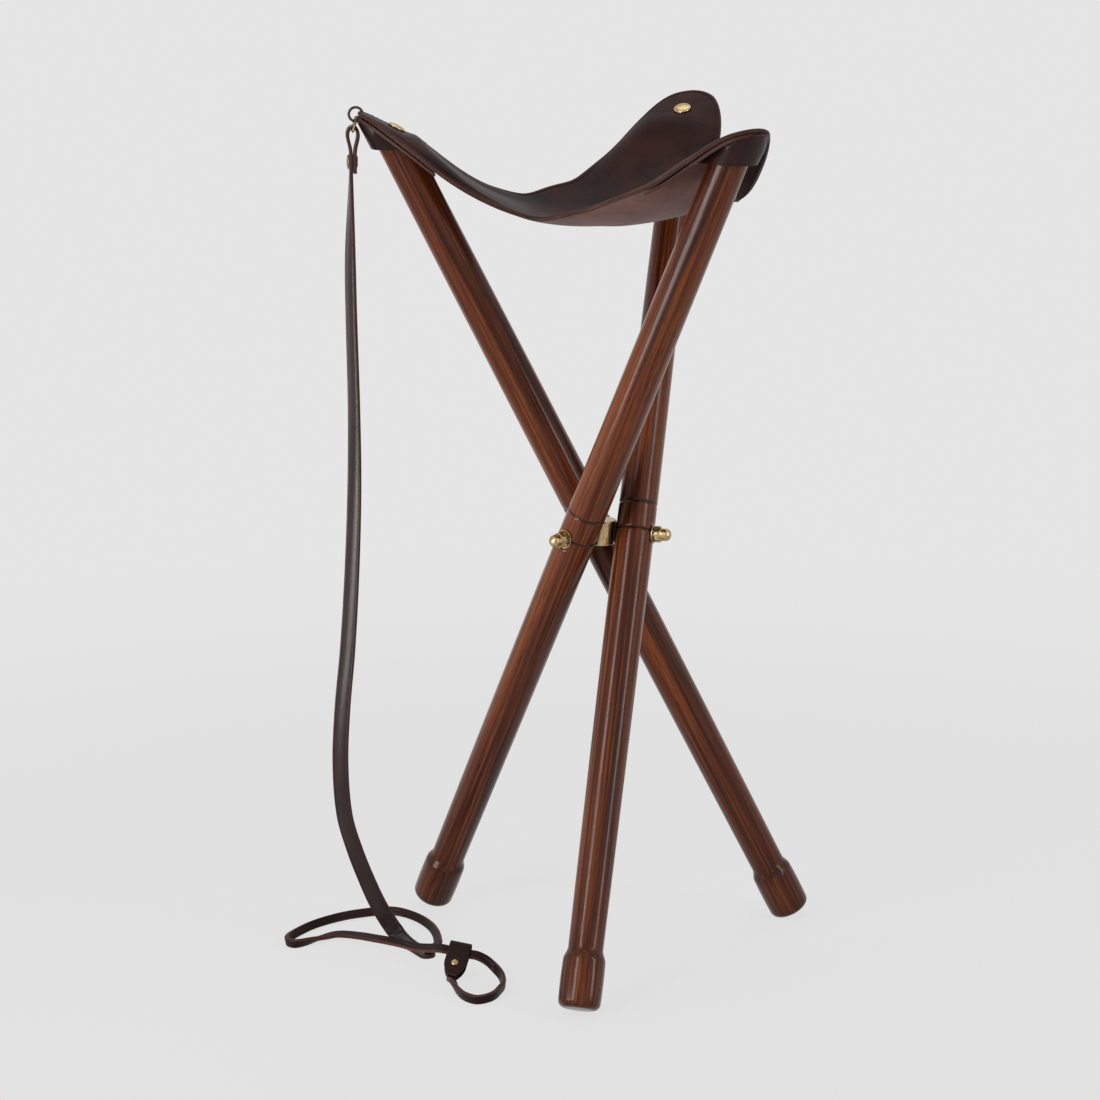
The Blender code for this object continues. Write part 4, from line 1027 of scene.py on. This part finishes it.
smallLoop = [(-0.1140, -0.0595, 0.0135, -52), (-0.1085, -0.0650, 0.0085, -68),
             (-0.1060, -0.0740, 0.0055, -78), (-0.1065, -0.0830, None, -82), (-0.1090, -0.0940, None, -84),
             (-0.1140, -0.1040, None, -84), (-0.1245, -0.1190, None, -84), (-0.1380, -0.1240, None, -84),
             (-0.1460, -0.1135, None, -80), (-0.1485, -0.0950, None, -70), (-0.1480, -0.0800, 0.0050, -40)]


def loopPoint(x, y, height, roll):
    if height is None:
        tipped = radians(abs(roll))
        height = loopLook["width"] / 2 * sin(tipped) + loopLook["thick"] / 2 * cos(tipped) + stool["fit"]
    return (*(Vector((x, y, height)) + floorShift), roll)


loopPoints = [loopPoint(*p) for p in firstLay]
loopPoints += [(*(keeperAt + keeperAlong * d), degrees(keeperLook["tilt"])) for d in keeperLook["passAt"]]
loopPoints += [loopPoint(*p) for p in smallLoop]
loopPoints += [(*(keeperAt + keeperFlap * d), tailRoll) for d in keeperLook["tailAt"]]
loopRoute = smoothRoute(loopPoints, loopLook["spans"])
loopCentres = [Vector(p[:3]) for p in loopRoute]
loopAcross = []
for i, p in enumerate(loopRoute):
    ahead = aheadAt(loopCentres, i)
    level = ahead.cross(up).normalized()
    squareUp = level.cross(ahead).normalized()
    loopAcross.append(level * cos(radians(p[3])) + squareUp * sin(radians(p[3])))
loopMesh = stripMesh("loopStrap", loopCentres, [-a for a in loopAcross],
                     strapSection(loopLook["width"], loopLook["thick"], (0,), True))
loop = addPiece("loopStrap", loopMesh, [loopLeather, rubbedEdge], bodyOf["left"])
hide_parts("loop_strap")


def makeLoopStitches():
    places = []
    for at, ahead in walk(loopCentres, loopSewing["pitch"]):
        near = min(range(len(loopCentres)), key=lambda k: (loopCentres[k] - at).length_squared)
        square = loopAcross[near].cross(ahead).normalized()  # towards the sewn face
        places.append(frameFrom(ahead, square, at + square * (loopLook["thick"] / 2 - loopSewing["sunk"])))
    mesh = stitchMesh("loopStitches", places, loopSewing)
    return addPiece("loopStitches", mesh, [thread], bodyOf["left"])


def keeperPoint(u, v):
    gap = keeperInside + keeperLook["thick"] / 2
    crease = -(loopLook["width"] / 2 + 3 * stool["fit"])
    flat = keeperLook["length"] - crease
    bend = pi * gap
    run = v * (2 * flat + bend)
    if run < flat:
        along, lift = keeperLook["length"] - run, gap
    elif run < flat + bend:
        turn = (run - flat) / gap
        along, lift = crease - gap * sin(turn), gap * cos(turn)
    else:
        along, lift = crease + run - flat - bend, -gap
    straight = keeperLook["taperFrom"] * keeperLook["length"]
    taper = max((along - straight) / (keeperLook["length"] - straight), 0)
    half = keeperLook["half"] * (1 - keeperLook["taper"] * taper ** 2)
    return keeperAt + keeperAlong * (u * half) + keeperFlap * along + keeperSquare * lift


loopStitches = makeLoopStitches()
keeperMesh = gridMesh("keeperTab", keeperLook["across"], keeperLook["round"], keeperPoint)
keeper = addPiece("keeperTab", keeperMesh, [loopLeather, rubbedEdge], bodyOf["left"])
thicken(keeper, keeperLook["thick"], rimSlot=1)
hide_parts("keeper")
keeperRivet = makeRivet("keeperRivet", "keeper_rivet",
                        frameFrom(keeperAlong, keeperSquare, keeperAt + keeperFlap * keeperLook["rivetAt"]),
                        rivetLook["keeperHead"], rivetLook["keeperRise"],
                        keeperInside + keeperLook["thick"], brass)

# floor, light and camera
setLook = {"ground": (0.787, 0.787, 0.787), "ambient": (0.30, 0.30, 0.30), "rough": 0.9, "half": 60,
           "drop": 0.0002, "groundShadow": 0.13, "shadowNear": 0.5, "shadowFar": 1.6}
lamps = {
    "leftSoftbox": {"at": (-2.0, -1.4, 1.3), "aim": (0, 0, 0.4), "size": (0.5, 1.8), "power": 27},
    "rightSoftbox": {"at": (1.7, -1.7, 1.2), "aim": (0, 0, 0.4), "size": (0.4, 1.7), "power": 18},
    "lowPanel": {"at": (-1.15, -0.35, 0.30), "aim": (0, 0, 0.4), "size": (0.5, 0.5), "power": 1.3,
                 "spread": 60},
    "overheadBox": {"at": (0.2, 0.5, 2.6), "aim": (0, 0, 0.5), "size": (1.8, 1.8), "power": 10},
}
cameraLook = {"at": Vector((-0.7611, -2.7179, 0.9674)), "aim": Vector((-0.0414, 0.0116, 0.343)),
              "lens": 113.58, "sensor": 36, "near": 0.05}


def seenRays(tree):  # 1 for what the camera sees, straight, mirrored or through something
    path = addNode(tree, "LightPath", {})
    seen = path.outputs["Is Camera Ray"]
    for kind in ("Is Glossy Ray", "Is Transmission Ray"):
        seen = addNode(tree, "Math", {0: seen, 1: path.outputs[kind]}, operation="MAXIMUM").outputs[0]
    return seen


def makeFloor():
    shape = bmesh.new()
    bmesh.ops.create_grid(shape, x_segments=1, y_segments=1, size=setLook["half"])
    floor = newObject("floor", finishMesh("floor", shape))
    material, tree, shader = newMaterial("paleFloor", {"Base Color": setLook["ground"],
                                                       "Roughness": setLook["rough"]})
    coords = addNode(tree, "TexCoord", {})
    away = addNode(tree, "VectorMath", {0: coords.outputs["Object"]}, operation="LENGTH")
    fade = addNode(tree, "MapRange", {"Value": away.outputs["Value"], "From Min": setLook["shadowNear"],
                                      "From Max": setLook["shadowFar"],
                                      "To Min": 1 - setLook["groundShadow"]},
                   interpolation_type="SMOOTHSTEP")
    share = addNode(tree, "Math", {0: seenRays(tree), 1: fade.outputs["Result"]}, operation="MULTIPLY")
    glow = addNode(tree, "Emission", {"Color": setLook["ground"]})
    mixed = addNode(tree, "MixShader", {"Fac": share.outputs[0], 1: shader.outputs[0], 2: glow.outputs[0]})
    tree.links.new(mixed.outputs[0], tree.nodes["Material Output"].inputs["Surface"])
    floor.data.materials.append(material)
    floor.location.z = -setLook["drop"]


def makeWorld():
    world = bpy.data.worlds.new("studio")
    bpy.context.scene.world = world
    world.use_nodes = True
    tree = world.node_tree
    tree.nodes.clear()
    plain = addNode(tree, "Background", {"Color": setLook["ambient"]})
    backdrop = addNode(tree, "Background", {"Color": setLook["ground"]})
    choose = addNode(tree, "MixShader", {"Fac": seenRays(tree), 1: plain.outputs[0], 2: backdrop.outputs[0]})
    addNode(tree, "OutputWorld", {"Surface": choose.outputs[0]})


def addLamp(name, look):
    lamp = bpy.data.lights.new(name, "AREA")
    lamp.shape = "RECTANGLE"
    lamp.size, lamp.size_y = look["size"]
    lamp.energy = look["power"]
    if "spread" in look:
        lamp.spread = radians(look["spread"])
    holder = newObject(name, lamp)
    back = Vector(look["at"]) - Vector(look["aim"])
    holder.matrix_world = frameFrom(up.cross(back), back, Vector(look["at"]))


def addCamera():
    camera = newObject("photoCamera", bpy.data.cameras.new("photoCamera"))
    at, aim = cameraLook["at"] + floorShift, cameraLook["aim"] + floorShift
    camera.matrix_world = frameFrom((aim - at).cross(up), at - aim, at)
    camera.data.lens = cameraLook["lens"]
    camera.data.sensor_width = camera.data.sensor_height = cameraLook["sensor"]
    camera.data.sensor_fit = "HORIZONTAL"
    camera.data.clip_start = cameraLook["near"]
    bpy.context.scene.camera = camera


makeFloor()
makeWorld()
for name, look in lamps.items():
    addLamp(name, look)
addCamera()
bpy.context.scene.view_settings.view_transform = "Standard"
print("camera and light set")
